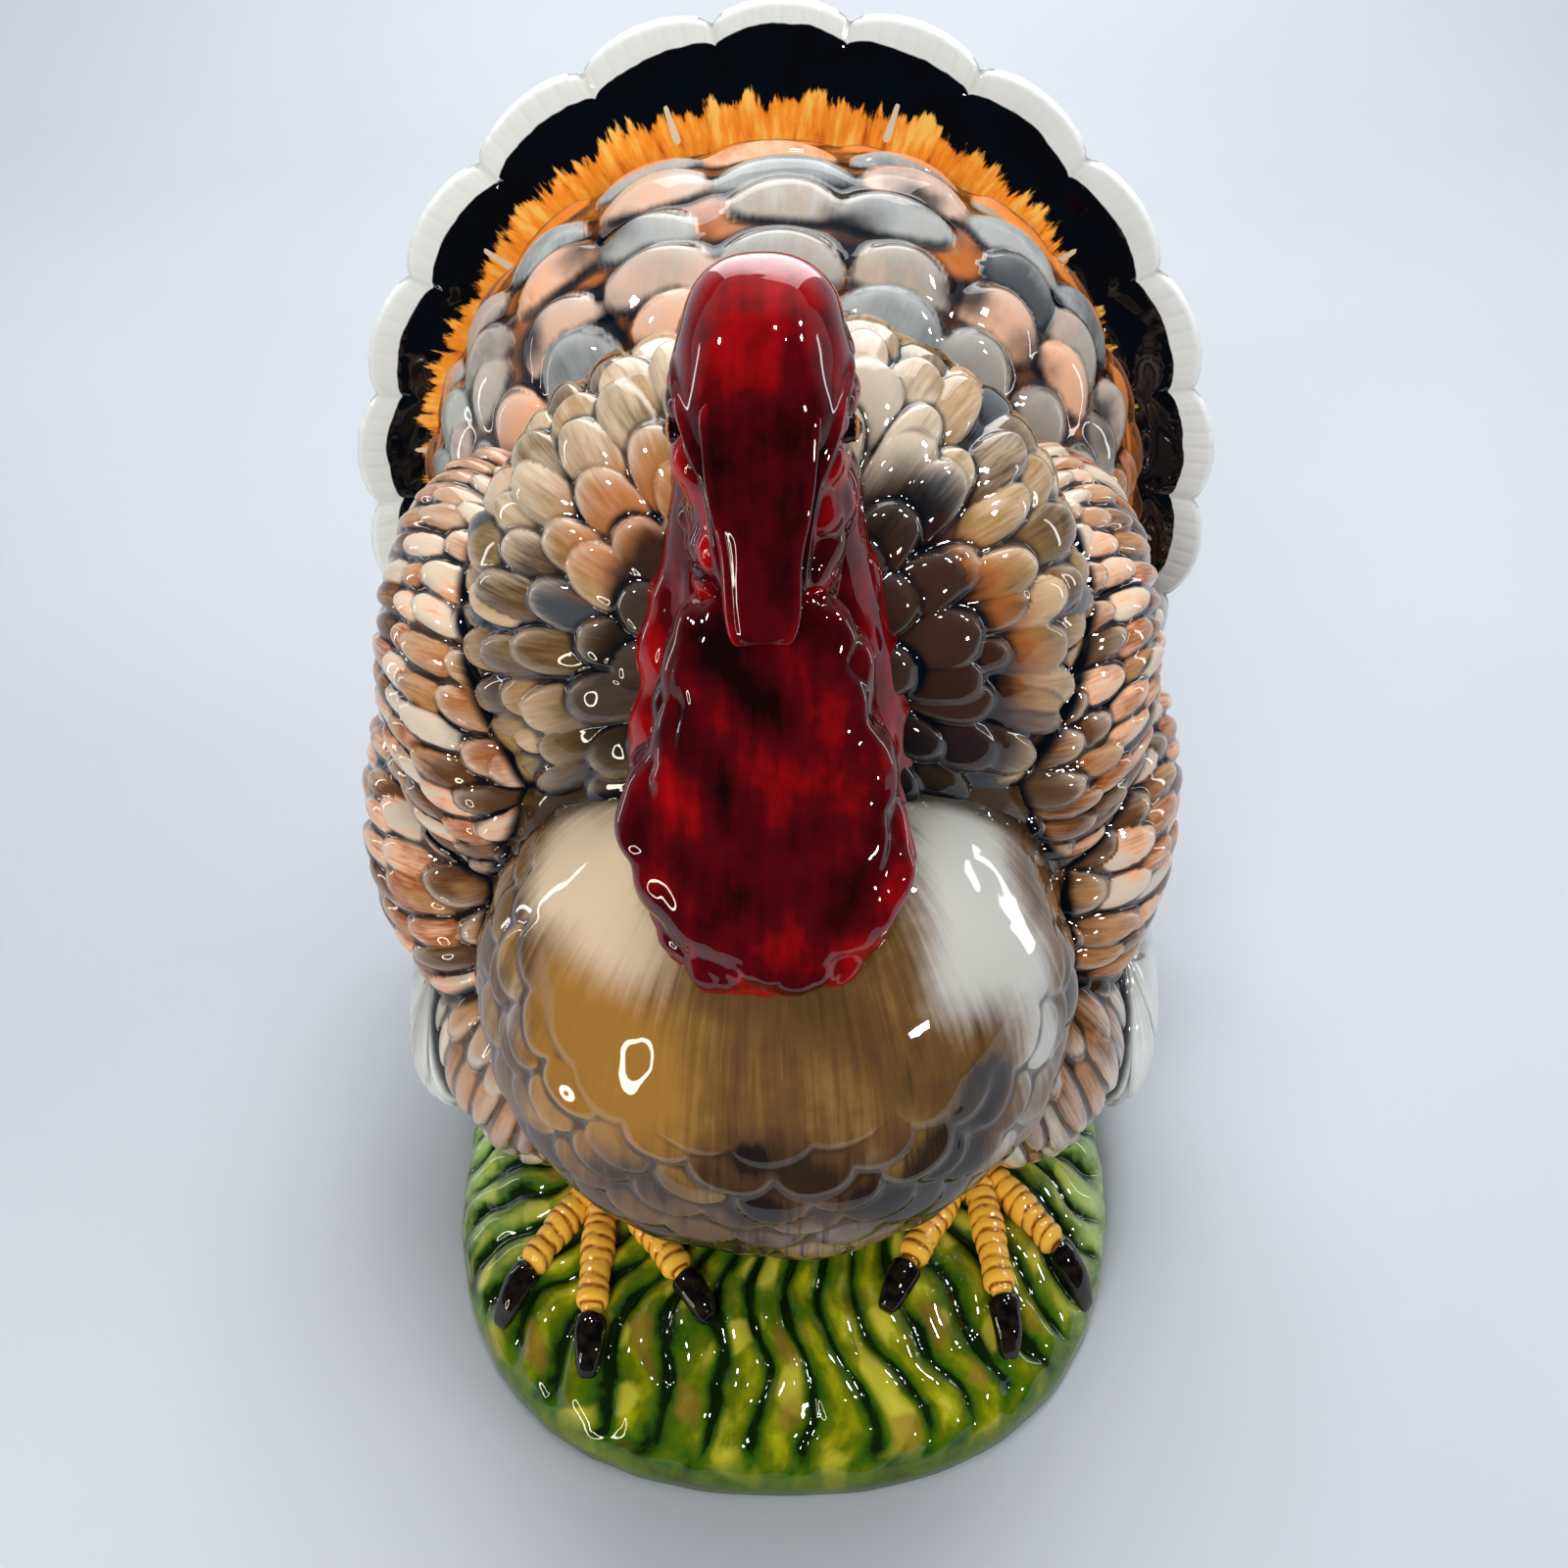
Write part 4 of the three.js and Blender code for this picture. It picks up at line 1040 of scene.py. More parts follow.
def rump_glaze():
    tones = [(0.0, "umber"), (0.3, "brown"), (0.6, "tan"), (0.85, "peach"), (1.0, "cool grey")]
    return feather_glaze("rump_glaze", tones, "cream", "orange", "blue black")


def make_rump():
    skin = feathered(RUMP, "rump", {})
    room = before_fan(skin["points"], -FAN_GAP - FAN_THICKNESS)
    skin["points"][:, 1] += np.maximum(room, 0)
    piece("rump", skin, ["rump_coverts"], [rump_glaze()])


# Wings, flanks and quills


def wing_glaze():
    tones = [
        (0.0, "bark"), (0.16, "brown"), (0.4, "tan"), (0.55, "terracotta"), (0.75, "peach"), (0.9, "shell"),
    ]
    # Wing feathers get strong painted highlights along their tips and crests
    return feather_glaze("wing_glaze", tones, "shell", "tan", "blue black", patch=0.85, tip_highlight_share=0.4, crest_break_and_highlight=0.3)


def side_skin(name, sign, daub_shares):
    """Feathered skin of a lobe of one side"""
    return feathered(wing_forms(sign)[name], name, daub_shares, sign=sign)


def make_wings():
    glaze = wing_glaze()
    for side, sign in SIDES.items():
        skin = side_skin("shoulder", sign, WING_DAUB_SHARES)
        piece(f"{side}_shoulder", skin, [f"{side}_wing_shoulder"], [glaze])
        skin = side_skin("lower", sign, WING_DAUB_SHARES)
        piece(f"{side}_wing", skin, [f"{side}_lower_wing"], [glaze])


def flank_glaze():
    tones = [(0.0, "brown"), (0.35, "tan"), (0.7, "warm grey"), (1.0, "cream")]
    return feather_glaze("flank_glaze", tones, "off white", "tan", "umber")


def make_flanks():
    glaze = flank_glaze()
    for side, sign in SIDES.items():
        skin = side_skin("flank", sign, FLANK_DAUB_SHARES[sign])
        piece(f"{side}_flank_feathers", skin, [f"{side}_flank"], [glaze])


def quill_glaze():
    tones = [(0.0, "warm grey"), (0.4, "cool grey"), (0.7, "off white"), (1.0, "off white")]
    return feather_glaze(
        "quill_glaze", tones, "off white", "pink", "slate", pool_shares=(0.1, 0.8), base=0.15,
    )


def make_quills():
    glaze = quill_glaze()
    for side, sign in SIDES.items():
        skin = side_skin("quills", sign, QUILL_DAUB_SHARES)
        piece(f"{side}_quills", skin, [f"{side}_wing_quills"], [glaze])


# Body


def breast_mask(shares):
    """1 where the breast has scalloped feathers, near 0 on its smooth throat"""
    x, z = shares[..., 0], shares[..., 2]
    side = 0.55 * smooth(-0.5, -0.85, x) + 0.22 * smooth(0.65, 0.9, x)
    return np.clip(smooth(0.34, -0.02, z - side), 0.04, 1)


def breast_glaze():
    """Glaze of the body: brushed round the throat above, with scalloped feathers below"""
    paint = Glaze("breast_glaze", peel_size=BROAD_PEEL_SIZE)
    cloud = paint.waver(paint.place, 30.0, 4, 0.6)
    strokes = paint.waver(paint.vector(("turned", 26.0), ("level", 16.0)), 1.0, 4, 0.65)
    drift = paint.waver(paint.place, 13.0, 2)
    scaly = paint.value("scaly")
    apart = paint.times(paint.less(paint.value("tone"), 0.5), scaly)
    share = paint.total(0.52, (strokes, 0.7), (cloud, 0.9), (apart, 0.5), (scaly, -0.08))
    tones = [(0.15, "umber"), (0.36, "bark"), (0.55, "olive"), (0.75, "olive tan"), (1.0, "fawn")]
    colour = paint.ramp(share, tones)
    colour = paint.coat(colour, "gold", 0.8, (0.2, 1.0), "warm", (cloud, 0.6), (strokes, 0.5))
    colour = paint.coat(colour, "beige", 0.92, (0.1, 1.0), "pale", (strokes, 0.6), (cloud, 0.7), drift)
    colour = paint.coat(colour, "pearl", 0.92, (0.1, 1.0), "grey", (strokes, 0.6), (cloud, 0.8), drift)
    colour = paint.coat(colour, "blue black", 0.85, (0.3, 0.85), "dark", (cloud, 0.7), (strokes, 1.6))
    # Painted highlight: a faint pale line along the tip of each scalloped feather
    rim = paint.times(paint.step("reach", 0.84, 0.96), paint.step(scaly, 0.5, 1.0))
    colour = paint.mix(paint.times(rim, 0.07), colour, "shell")
    # Darker in the hollows and along the scallops' edges: glaze pooled there, and a painted shadow under each
    # scallop's tip
    pool = paint.step(paint.total("hollow", (strokes, 0.15)), 0.06, 0.35)
    line = paint.times(paint.step("edge", 0.4, 1.0), 0.25)
    pool = paint.times(paint.most(pool, line), paint.step(scaly, 0.1, 0.6))
    join = paint.step(paint.total("join", (cloud, 0.8)), 0.35, 0.95)
    return paint.finish(paint.mix(paint.times(paint.most(pool, join), 0.85), colour, "umber"))


def make_body():
    breast = feathered(BREAST, "breast", BREAST_DAUB_SHARES, mask=breast_mask)
    middle = breast["points"] - np.array(BREAST["at"])
    breast["values"]["turned"] = np.arctan2(middle[:, 0], -middle[:, 1])
    breast["values"]["level"] = middle[:, 2]
    breast["values"]["scaly"] = breast_mask(lobe_shares(BREAST, breast["points"]))
    torso = feathered(TORSO, "torso", {})
    piece("body", joined(breast, torso), ["body_shell"], [breast_glaze()])


# Tail fan


def fan_place(across, up, ahead):
    """Takes a place on the flat disc to the leaning cupped fan"""
    y = FAN_PLACE + ahead + up * math.sin(FAN_LEAN_ANGLE) - across ** 2 / (2 * FAN_CUP_RADIUS)
    return np.stack([across, y, FAN_HEIGHT + up * math.cos(FAN_LEAN_ANGLE)], -1)


def fan_glaze():
    """Glaze of the fan: cream scalloped rim, blue-black band, orange brushed band, pale quills"""
    paint = Glaze("fan_glaze", peel_size=BROAD_PEEL_SIZE)
    angle, radius, depth = [paint.value(label) for label in ("angle", "radius", "depth")]
    streaks = paint.noise(paint.vector((angle, 34.0), (radius, 55.0)), 1.0, 5, 0.62)
    sweeps = paint.noise(paint.vector((angle, 9.0), (radius, 40.0), 3.0))
    cloud = paint.noise(paint.place, 70.0)
    tones = [(0.55, "deep orange"), (0.66, "orange"), (0.78, "bright orange"), (0.92, "yellow")]
    orange = paint.ramp(paint.total((streaks, 0.9), (sweeps, 0.6)), tones)
    ragged, sweeping = BAND_RAGGED
    start = paint.total("band", (paint.less(streaks, 0.5), ragged), (sweeps, sweeping))
    band = paint.step(paint.less(radius, paint.less(start, BAND_SHIFT)), *BAND_BLUR)
    night = paint.ramp(cloud, [(0.3, "claw black"), (0.7, "blue black")])
    colour = paint.mix(paint.step("quill", 0.35, 0.5), paint.mix(band, orange, night), "cream")
    waver = paint.waver(paint.vector((angle, 12.0), 3.0), 1.0, 2)
    rim = paint.step(paint.less(paint.total("rim", (waver, RIM_WAVER)), depth), -RIM_BLUR, RIM_BLUR)
    # Painted shade in the rim's grooves and barbs, with a random mottle
    groove_shade_and_mottle = paint.total(("groove", 0.5), paint.less(cloud, 0.5))
    return paint.finish(paint.mix(rim, colour, paint.coat("rim cream", "rim shade", 0.6, (0.1, 1.0), groove_shade_and_mottle)))


def fan_lines():
    """Places round the fan: true angles, notch depths, and counts of scallops passed"""
    limit = math.pi - math.acos(FAN_DROP / math.cos(FAN_LEAN_ANGLE) / FAN_RADIUS)
    evens = np.linspace(-limit - SCALLOP_CROWD_SHARE, limit + SCALLOP_CROWD_SHARE, FAN_COLUMNS)
    angles = crowded(evens, SCALLOP_CROWD_SHARE)
    keep = np.abs(angles) <= limit
    evens, angles = evens[keep], angles[keep]
    notch = FAN_SCALLOP * (1 - np.sqrt(np.abs(np.cos(evens * SCALLOP_COUNT / 2))))
    return angles, notch, evens * SCALLOP_COUNT / (2 * np.pi)


def rim_relief(within, depth, radius, angles):
    """Relief of the fan's rim, and how much barb and groove shows in it, which sets the painted shade in them
    """
    rim_zone = smooth(*RIM_ZONE, depth)
    groove = bell(np.abs(within) - 0.5, GROOVE_WIDTH_SHARE) * (0.3 + 0.7 * smooth(*GROOVE_ZONE, depth))
    barbs = np.clip(np.cos(2 * np.pi * within * BARB_COUNT), 0.75, 1) * 4 - 3
    dish = 4 * within ** 2
    relief = -(GROOVE_DEPTH * groove + BARB_DEPTH * barbs + DISH_DEPTH * dish) * rim_zone
    rough = smooth(*ROUGH_ZONES[0], depth) * smooth(*ROUGH_ZONES[1], depth)
    place = np.stack([radius * np.sin(angles), radius * np.cos(angles)], -1)
    relief -= rough * (ROUGH_DEPTH + ROUGH_RIPPLE * ripple(place, ROUGH_SIZE, SEEDS["rim"]))
    return relief, groove + barbs * rim_zone * 0.6


def quill_spikes(across, past):
    """1 on the pale quills that run to a point past the start of the dark band, on every second scallop"""
    within = across - np.round(across)
    spike = bell(within, SPIKE_WIDTH_SHARE - SPIKE_NARROWING * past)
    second = np.abs(np.round(across) % 2)
    return spike * smooth(*SPIKE_ZONES[0], past) * smooth(*SPIKE_ZONES[1], past) * second


def fan_face(front, shares, angles, notch, across):
    """Places and paint values of one face of the fan"""
    share = shares[:, None] if front else shares[::-1, None]
    radius = share * FAN_RADIUS * (1 - notch / FAN_RADIUS * share ** 4)
    depth = FAN_RADIUS - notch - radius
    relief, groove = rim_relief(across - np.round(across), depth, radius, angles)
    half = fan_half(share) * (1 - 0.75 * smooth(RIM_EDGE, 0, depth) ** 2)
    x = radius * np.sin(angles)
    z = np.maximum(radius * np.cos(angles), -FAN_DROP / math.cos(FAN_LEAN_ANGLE))
    wander = ripple(np.stack([angles, angles * 0], -1), BAND_RIPPLE_SIZE, SEEDS["band"])
    band = BAND_RADIUS + BAND_LEFT_CHANGE * smooth(0.5, 1.5, -angles) + BAND_RIPPLE * wander
    rim = RIM_DEPTH - RIM_TOP_CHANGE * smooth(0.35, 0.05, np.abs(angles)) - 0.3 * notch
    return {
        "points": fan_place(x, z, -(half + relief) if front else half + relief), "angle": angles + 0 * x,
        "radius": radius, "depth": depth, "groove": groove, "band": band + 0 * x,
        "quill": quill_spikes(across, radius - band) * front, "rim": rim + 0 * x,
    }


def make_fan():
    angles, notch, across = fan_lines()
    start, middle, end = FAN_ROW_SHARES
    inner, outer = FAN_ROWS
    shares = np.concatenate([np.linspace(start, middle, inner)[:-1], np.linspace(middle, end, outer)])
    faces = [fan_face(front, shares, angles, notch, across) for front in (True, False)]
    values = {name: np.concatenate([face[name] for face in faces]) for name in faces[0]}
    points = values.pop("points")
    piece("fan", plate(points, values), ["tail_fan"], [fan_glaze()])


def plate(rows, values):
    """Closed plate from rows that run over its front and back, with a cap at each side"""
    count, columns = rows.shape[:2]
    grid = np.arange(count * columns).reshape(count, columns)
    quads = [quad_faces(np.vstack([grid, grid[:1]]))]
    half = count // 2
    for column, turn in ((0, 1), (columns - 1, -1)):
        front, back = grid[:half, column], grid[half:, column][::-1]
        quads.append(np.stack([front[:-1], front[1:], back[1:], back[:-1]], -1)[:, ::turn])
    return {
        "points": rows.reshape(-1, 3), "quads": np.vstack(quads), "threes": np.zeros((0, 3), dtype=int),
        "values": {name: value.reshape(-1) for name, value in values.items()},
    }


# Grass mound


def mound_radius(angle):
    """Reach of the mound's outline at an angle"""
    across = np.abs(np.cos(angle)) / MOUND_HALF_WIDTH
    along = np.abs(np.sin(angle)) / MOUND_HALF_LENGTH
    return (across ** MOUND_SQUARENESS + along ** MOUND_SQUARENESS) ** (-1 / MOUND_SQUARENESS)


def mound_rise(share):
    """Height of the mound's skin at a share of its reach"""
    fall = np.clip(1 - share ** MOUND_OUT_POWER, 0, 1)
    return MOUND_FOOT + (MOUND_HEIGHT - MOUND_FOOT) * fall ** MOUND_UP_POWER


def mound_skin(x, y):
    """Height of the mound's skin above a place"""
    return mound_rise(np.minimum(np.hypot(x, y) / mound_radius(np.arctan2(y, x)), 1))


def ridge_swing(share, angle):
    """How far the grass ridges swing aside at a share of the mound's reach"""
    twist = RIDGE_TWIST_ANGLE * np.sin(RIDGE_TWIST_COUNT * angle)
    return RIDGE_SWING_ANGLE * np.sin(2 * np.pi * RIDGE_SWING_COUNT * share + twist)


def grass_glaze():
    """Glaze of the grass: deep green between ridges, yellow where their blades are dry, with a painted sheen
    on the mound's left and right sides
    """
    paint = Glaze("grass_glaze", peel=GRASS_PEEL_DEPTH, peel_size=BROAD_PEEL_SIZE)
    ridge = paint.value("ridge")
    flow = paint.waver(paint.vector("grain", ("out", 30.0)), 1.0, 4)
    cloud = paint.waver(paint.place, 55.0, 4, 0.6)
    broad = paint.waver(paint.place, 22.0)
    share = paint.total((ridge, 0.68), (flow, 0.9), (cloud, 0.9), (broad, 0.8))
    tones = [(0.15, "deep green"), (0.36, "grass green"), (0.58, "leaf green"), (0.8, "lime"), (1.0, "straw")]
    colour = paint.ramp(share, tones)
    dry = paint.times(paint.step(paint.total("blade", (flow, 0.5)), 0.72, 1.0), paint.step(ridge, 0.45, 0.9))
    colour = paint.mix(paint.times(dry, 0.7), colour, "straw")
    burnt = paint.times(paint.step(paint.total("burnt", (cloud, 0.6)), 0.8, 1.1), paint.step(ridge, 0.5, 0.9))
    colour = paint.mix(paint.times(burnt, 0.6), colour, "ochre")
    # Painted sheen: pale mint on the mound's left and right sides
    colour = paint.mix(paint.times(paint.value("mint_sheen"), paint.step(share, 0.2, 0.8)), colour, "mint_sheen")
    colour = paint.coat(colour, "deep green", 0.85, (0.45, 0.1), ridge, (flow, 0.4))
    return paint.finish(paint.coat(colour, "leaf green", 0.4, (0.3, 0.8), "foot"))


def bisque_glaze():
    """Bare fired clay of the mound's underside"""
    paint = Glaze("bare_bisque", roughness=0.75, coat=0.0, **BISQUE_PEEL)
    speck = paint.noise(paint.place, 400.0, 4, 0.7)
    return paint.finish(paint.mix(paint.step(speck, 0.35, 0.8), "bisque", "warm grey"))


def mound_floor(rim, evens):
    """Rings of the mound's foot and underside, and up into its vent, from the last ring above"""
    rim[:, 2] = FOOT_BEVEL
    foot = rim.copy()
    foot[:, :2] *= 1 - FOOT_BEVEL / MOUND_HALF_WIDTH
    foot[:, 2] = 0
    vent = np.stack([VENT_RADIUS * np.cos(evens), VENT_PLACE + VENT_RADIUS * np.sin(evens)], -1)
    rings = [rim, foot]
    for share in np.linspace(0.1, 1, 8):
        rings.append(np.column_stack([foot[:, :2] * (1 - share) + vent * share, 0 * evens]))
    return [*rings, np.column_stack([vent, np.full(len(evens), VENT_DEPTH)])]


def underside(mesh):
    """True for the faces of the mound's underside and vent"""
    centres = np.array([polygon.center for polygon in mesh.polygons])
    inner = np.hypot(centres[:, 0], centres[:, 1] - VENT_PLACE) < VENT_RADIUS * VENT_ROOM_SHARE
    return (centres[:, 2] < FLAT) | (inner & (centres[:, 2] < VENT_DEPTH * VENT_ROOM_SHARE))


def mound_grid():
    """Rings of the smooth mound, with even and swung angles, shares of the reach and travels"""
    evens = np.linspace(0, 2 * np.pi, RIDGE_COLUMNS * RIDGE_COUNT, endpoint=False)
    start, middle = MOUND_ROW_SHARES
    inner = np.linspace(start, middle, MOUND_ROWS[0])[:-1]
    outer = np.sin(np.linspace(math.asin(middle), np.pi / 2, MOUND_ROWS[1]))
    shares = np.concatenate([inner, outer])[:, None]
    angles = evens + ridge_swing(shares, evens) * smooth(1.0, 0.97, shares)
    reach = shares * mound_radius(angles)
    x, y = reach * np.cos(angles), reach * np.sin(angles)
    points = np.stack([x, y, mound_rise(shares) + 0 * reach], -1)
    steps = np.linalg.norm(np.diff(points[:, 0], axis=0), axis=-1)
    travel = np.concatenate([[0], np.cumsum(steps)])[:, None] + 0 * reach
    return points, evens, angles, shares, travel


def make_mound():
    points, evens, angles, shares, travel = mound_grid()
    plane = np.concatenate([points[..., :2], travel[..., None]], -1)
    broad, fine = RIDGE_WANDER_SIZES
    wander = 0.45 * ripple(plane, broad, SEEDS["wander"]) + 0.2 * ripple(plane, fine, SEEDS["wander 2"])
    phase = evens * RIDGE_COUNT / 2 + wander
    wave = np.abs(np.cos(phase))
    swell = smooth(*RIDGE_START_SHARES, shares) * smooth(1.0, 0.94, shares)
    shallow = 1 - 0.5 * smooth(0.2, 1.0, ripple(plane, broad, SEEDS["shallow"]))
    relief = (wave ** 0.8 - 1) * RIDGE_DEPTH * swell * shallow
    relief += GRASS_RIPPLE * ripple(plane, GRASS_RIPPLE_SIZE, SEEDS["grass"]) - GRASS_SINK
    top = raised(points, relief)
    lower = mound_floor(top[-1].copy(), evens)
    # Where the painted sheen shows: on the mound's left and right sides, toward its rim
    side = smooth(0.7, 1.0, np.abs(np.cos(angles))) * smooth(0.7, 0.97, shares) * 0.8
    paint = {
        "ridge": (wave ** 0.9 * swell + 0.6 * (1 - swell), 0.3), "grain": (phase * 0.8, 0),
        "out": (travel * 3, 0), "blade": (0.5 + 0.5 * ripple(plane, BLADE_SIZE, SEEDS["blade"]), 0),
        "burnt": (0.5 + 0.5 * ripple(plane, BURNT_SIZE, SEEDS["burnt"]), 0), "mint_sheen": (side, 0),
        "foot": (smooth(0.985, 1.0, shares) + 0 * travel, 1),
    }
    values = {}
    for name, (above, below) in paint.items():
        values[name] = np.vstack([above, np.full((len(lower), len(evens)), below)])
    ends = [np.array([0, 0, MOUND_HEIGHT]), np.array([0, VENT_PLACE, VENT_DEPTH])]
    skin = shell(np.concatenate([top, lower]), ends, **values)
    piece("grass", skin, ["grass_mound"], [grass_glaze(), bisque_glaze()], underside)


# Neck, head, snood and wattle


def turned(shares, height, width, depth, cells):
    """Rings of a turned piece from its outline of radius and height shares"""
    columns, rows = cells
    outline = np.array(shares)
    length = np.concatenate([[0], np.cumsum(np.hypot(*np.diff(outline, axis=0).T))])
    spots = np.linspace(0, length[-1], rows + 2)[1:-1]
    fine = np.linspace(0, length[-1], OUTLINE_STEPS)
    window = np.ones(OUTLINE_WINDOW) / OUTLINE_WINDOW
    softer = []
    for line in outline.T:
        line = np.pad(np.interp(fine, length, line), OUTLINE_WINDOW // 2, mode="edge")
        softer.append(np.interp(spots, fine, np.convolve(line, window, "valid"))[:, None])
    radius, level = softer
    angles = np.linspace(0, 2 * np.pi, columns, endpoint=False)
    x, y = radius * width * np.sin(angles), -radius * depth * np.cos(angles)
    points = np.stack([x, y, level * height + 0 * x], -1)
    ends = [np.array([0, 0, points[row, :, 2].mean()]) for row in (0, -1)]
    return points, angles, ends


def stood(points, relief, ends, place, foot, shift, height):
    """Rings raised by a relief, and their ends, moved to a foot and on with their height"""
    moved = []
    for part in (raised(points, relief), *ends):
        z = part[..., 2]
        moved.append(part + np.stack([0 * z, place + shift * z / height, foot + 0 * z], -1))
    return moved


def lumps(points, size, height, seed, count):
    """Rounded lumps scattered over a surface"""
    draw = np.random.default_rng(seed)
    flat = points.reshape(-1, 3)
    seats = flat[draw.integers(0, len(flat), count)]
    sizes = size * draw.uniform(0.6, 1.3, count)
    rise = np.zeros(len(flat))
    for seat, reach in zip(seats, sizes):
        gap = np.linalg.norm(flat - seat, axis=1) / reach
        rise = np.maximum(rise, height * reach / size * np.sqrt(np.clip(1 - gap ** 2, 0, 1)))
    return blurred(rise.reshape(points.shape[:2]), 1)


def flesh_glaze(name):
    """Glossy red glaze, dark where it pools and bright where it is thin"""
    paint = Glaze(name, bend=1.48, peel_size=FLESH_PEEL_SIZE)
    cloud = paint.waver(paint.place, 60.0, 4, 0.6)
    runs = paint.waver(paint.vector(("side", 220.0), ("level", 40.0)), 1.0, 4)
    share = paint.total("red", (cloud, 1.1), (runs, 0.6), ("high", 0.12))
    return paint.finish(paint.ramp(share, [(0.05, "maroon"), (0.45, "crimson"), (0.9, "bright red")]))


def head_table(shares, z):
    """Value at a height of the head, from a table of heights and values"""
    return np.interp((z - HEAD["at"][2]) / HEAD["up"], *np.transpose(shares))


def make_head():
    grid = lobe_grid(HEAD, *HEAD_GRID)
    points = grid["points"]
    x, y, z = points[..., 0], points[..., 1], points[..., 2]
    front = smooth(*FACE_ZONE, y - HEAD["at"][1])
    below = smooth(*CROWN_ZONE, z - HEAD["at"][2])
    beside = np.abs(x) - head_table(STRIP_WIDTH_SHARES, z) * HEAD["width"]
    cheek = np.maximum(smooth(0.0, CHEEK_BLUR, beside), 1 - front) * below
    ridge = bell(beside, STRIP_RIDGE) * front * below
    bumps = lumps(points, **CHEEK_LUMPS)
    relief = STRIP_RIDGE * ridge + bumps * cheek - CHEEK_SINK * cheek
    relief += HEAD_RIPPLE * ripple(points, HEAD_RIPPLE_SIZES[0], SEEDS["head"])
    # The strip's red rises toward the crown, partly as a painted sheen on the head's top
    red = head_table(STRIP_RED_AND_SHEEN_SHARES, z) * (1 - cheek)
    red += cheek * (0.42 + 0.3 * ripple(points, HEAD_RIPPLE_SIZES[1], SEEDS["cheek"]))
    high = (bumps / CHEEK_LUMPS["height"]) * cheek + ridge
    skin = shell(raised(points, relief), grid["ends"], high=high, side=x, level=z, red=red)
    piece("head_skin", skin, ["head"], [flesh_glaze("head_glaze")])


def head_front(x, z):
    """Front of the head's skin at a place across and a height"""
    full = 1 / HEAD["fullness"]
    across = np.clip(np.abs(x) / HEAD["width"], 0, 1) ** full
    rise = np.clip(np.abs(z - HEAD["at"][2]) / HEAD["up"], 0, 1) ** full
    return HEAD["at"][1] - HEAD["front"] * np.sqrt(np.clip(1 - across ** 2 - rise ** 2, 0, 1))


def make_snood():
    sizes = (SNOOD_LENGTH, SNOOD_HALF_WIDTH, SNOOD_DEPTH)
    points, angles, ends = turned(SNOOD_SHARES, *sizes, TURNED_CELLS["snood"])
    foot_y = HEAD["at"][1] - HEAD["front"] - SNOOD_PROUD - SNOOD_TOP_SHIFT / 2
    foot_z = HEAD["at"][2] + HEAD["up"] / 2 - SNOOD_LENGTH + SNOOD_DEPTH
    edge = bell(np.abs(np.sin(angles)) - 0.93, 0.08) * (np.cos(angles) > 0)
    relief = SNOOD_EDGE * edge - SNOOD_SINK * np.clip(np.cos(angles), 0, 1)
    relief = relief + SNOOD_RIPPLE * ripple(points, SNOOD_RIPPLE_SIZE, SEEDS["snood"])
    placed, *ends = stood(points, relief, ends, foot_y, foot_z, SNOOD_TOP_SHIFT, SNOOD_LENGTH)
    share = points[..., 2] / SNOOD_LENGTH
    melt = smooth(0.42, 0.80, share)
    x, y, z = placed[..., 0], placed[..., 1], placed[..., 2]
    skin_y = head_front(x, z) - SNOOD_MELT["edge"] * edge - SNOOD_MELT["sink"]
    skin_y += SNOOD_MELT["top"] * smooth(0.8, 0.95, share)
    placed[..., 1] = y * (1 - melt) + np.maximum(y, skin_y) * melt
    ends[1][1] = HEAD["at"][1] - HEAD["front"] / 2
    red = head_table(STRIP_RED_AND_SHEEN_SHARES, z) + 0.1 * edge
    skin = shell(placed, ends, high=edge, side=x, level=z, red=red)
    piece("snood_skin", skin, ["snood"], [flesh_glaze("snood_glaze")])


def make_wattle():
    sizes = (WATTLE_HEIGHT, WATTLE_HALF_WIDTH, WATTLE_DEPTH)
    points, angles, ends = turned(WATTLE_SHARES, *sizes, TURNED_CELLS["wattle"])
    share = points[..., 2] / WATTLE_HEIGHT
    bumps = lumps(points, **WATTLE_LUMPS)
    fine = lumps(points, **WATTLE_FINE_LUMPS)
    side = smooth(0.55, 0.95, np.abs(np.sin(angles)))
    rough = np.clip(0.35 + 0.65 * side + 0.3 * smooth(0.35, 0.1, share), 0, 1)
    relief = rough * (bumps + 0.6 * fine) - WATTLE_SETTLE
    relief += WATTLE_RIPPLE * ripple(points, WATTLE_RIPPLE_SIZES[0], SEEDS["wattle"])
    placed, *ends = stood(
        points, relief, ends, WATTLE_PLACE, WATTLE_FOOT, WATTLE_TOP_SHIFT, WATTLE_HEIGHT,
    )
    red = 0.33 + 0.16 * ripple(points, WATTLE_RIPPLE_SIZES[1], SEEDS["throat"])
    red += 0.4 * smooth(0.09, 0.03, share) - 0.1 * smooth(0.6, 0.95, share)
    high = (bumps + fine) / WATTLE_LUMPS["height"] * rough
    skin = shell(placed, ends, high=high, side=points[..., 0], level=placed[..., 2], red=red)
    piece("wattle_skin", skin, ["wattle"], [flesh_glaze("wattle_glaze")])


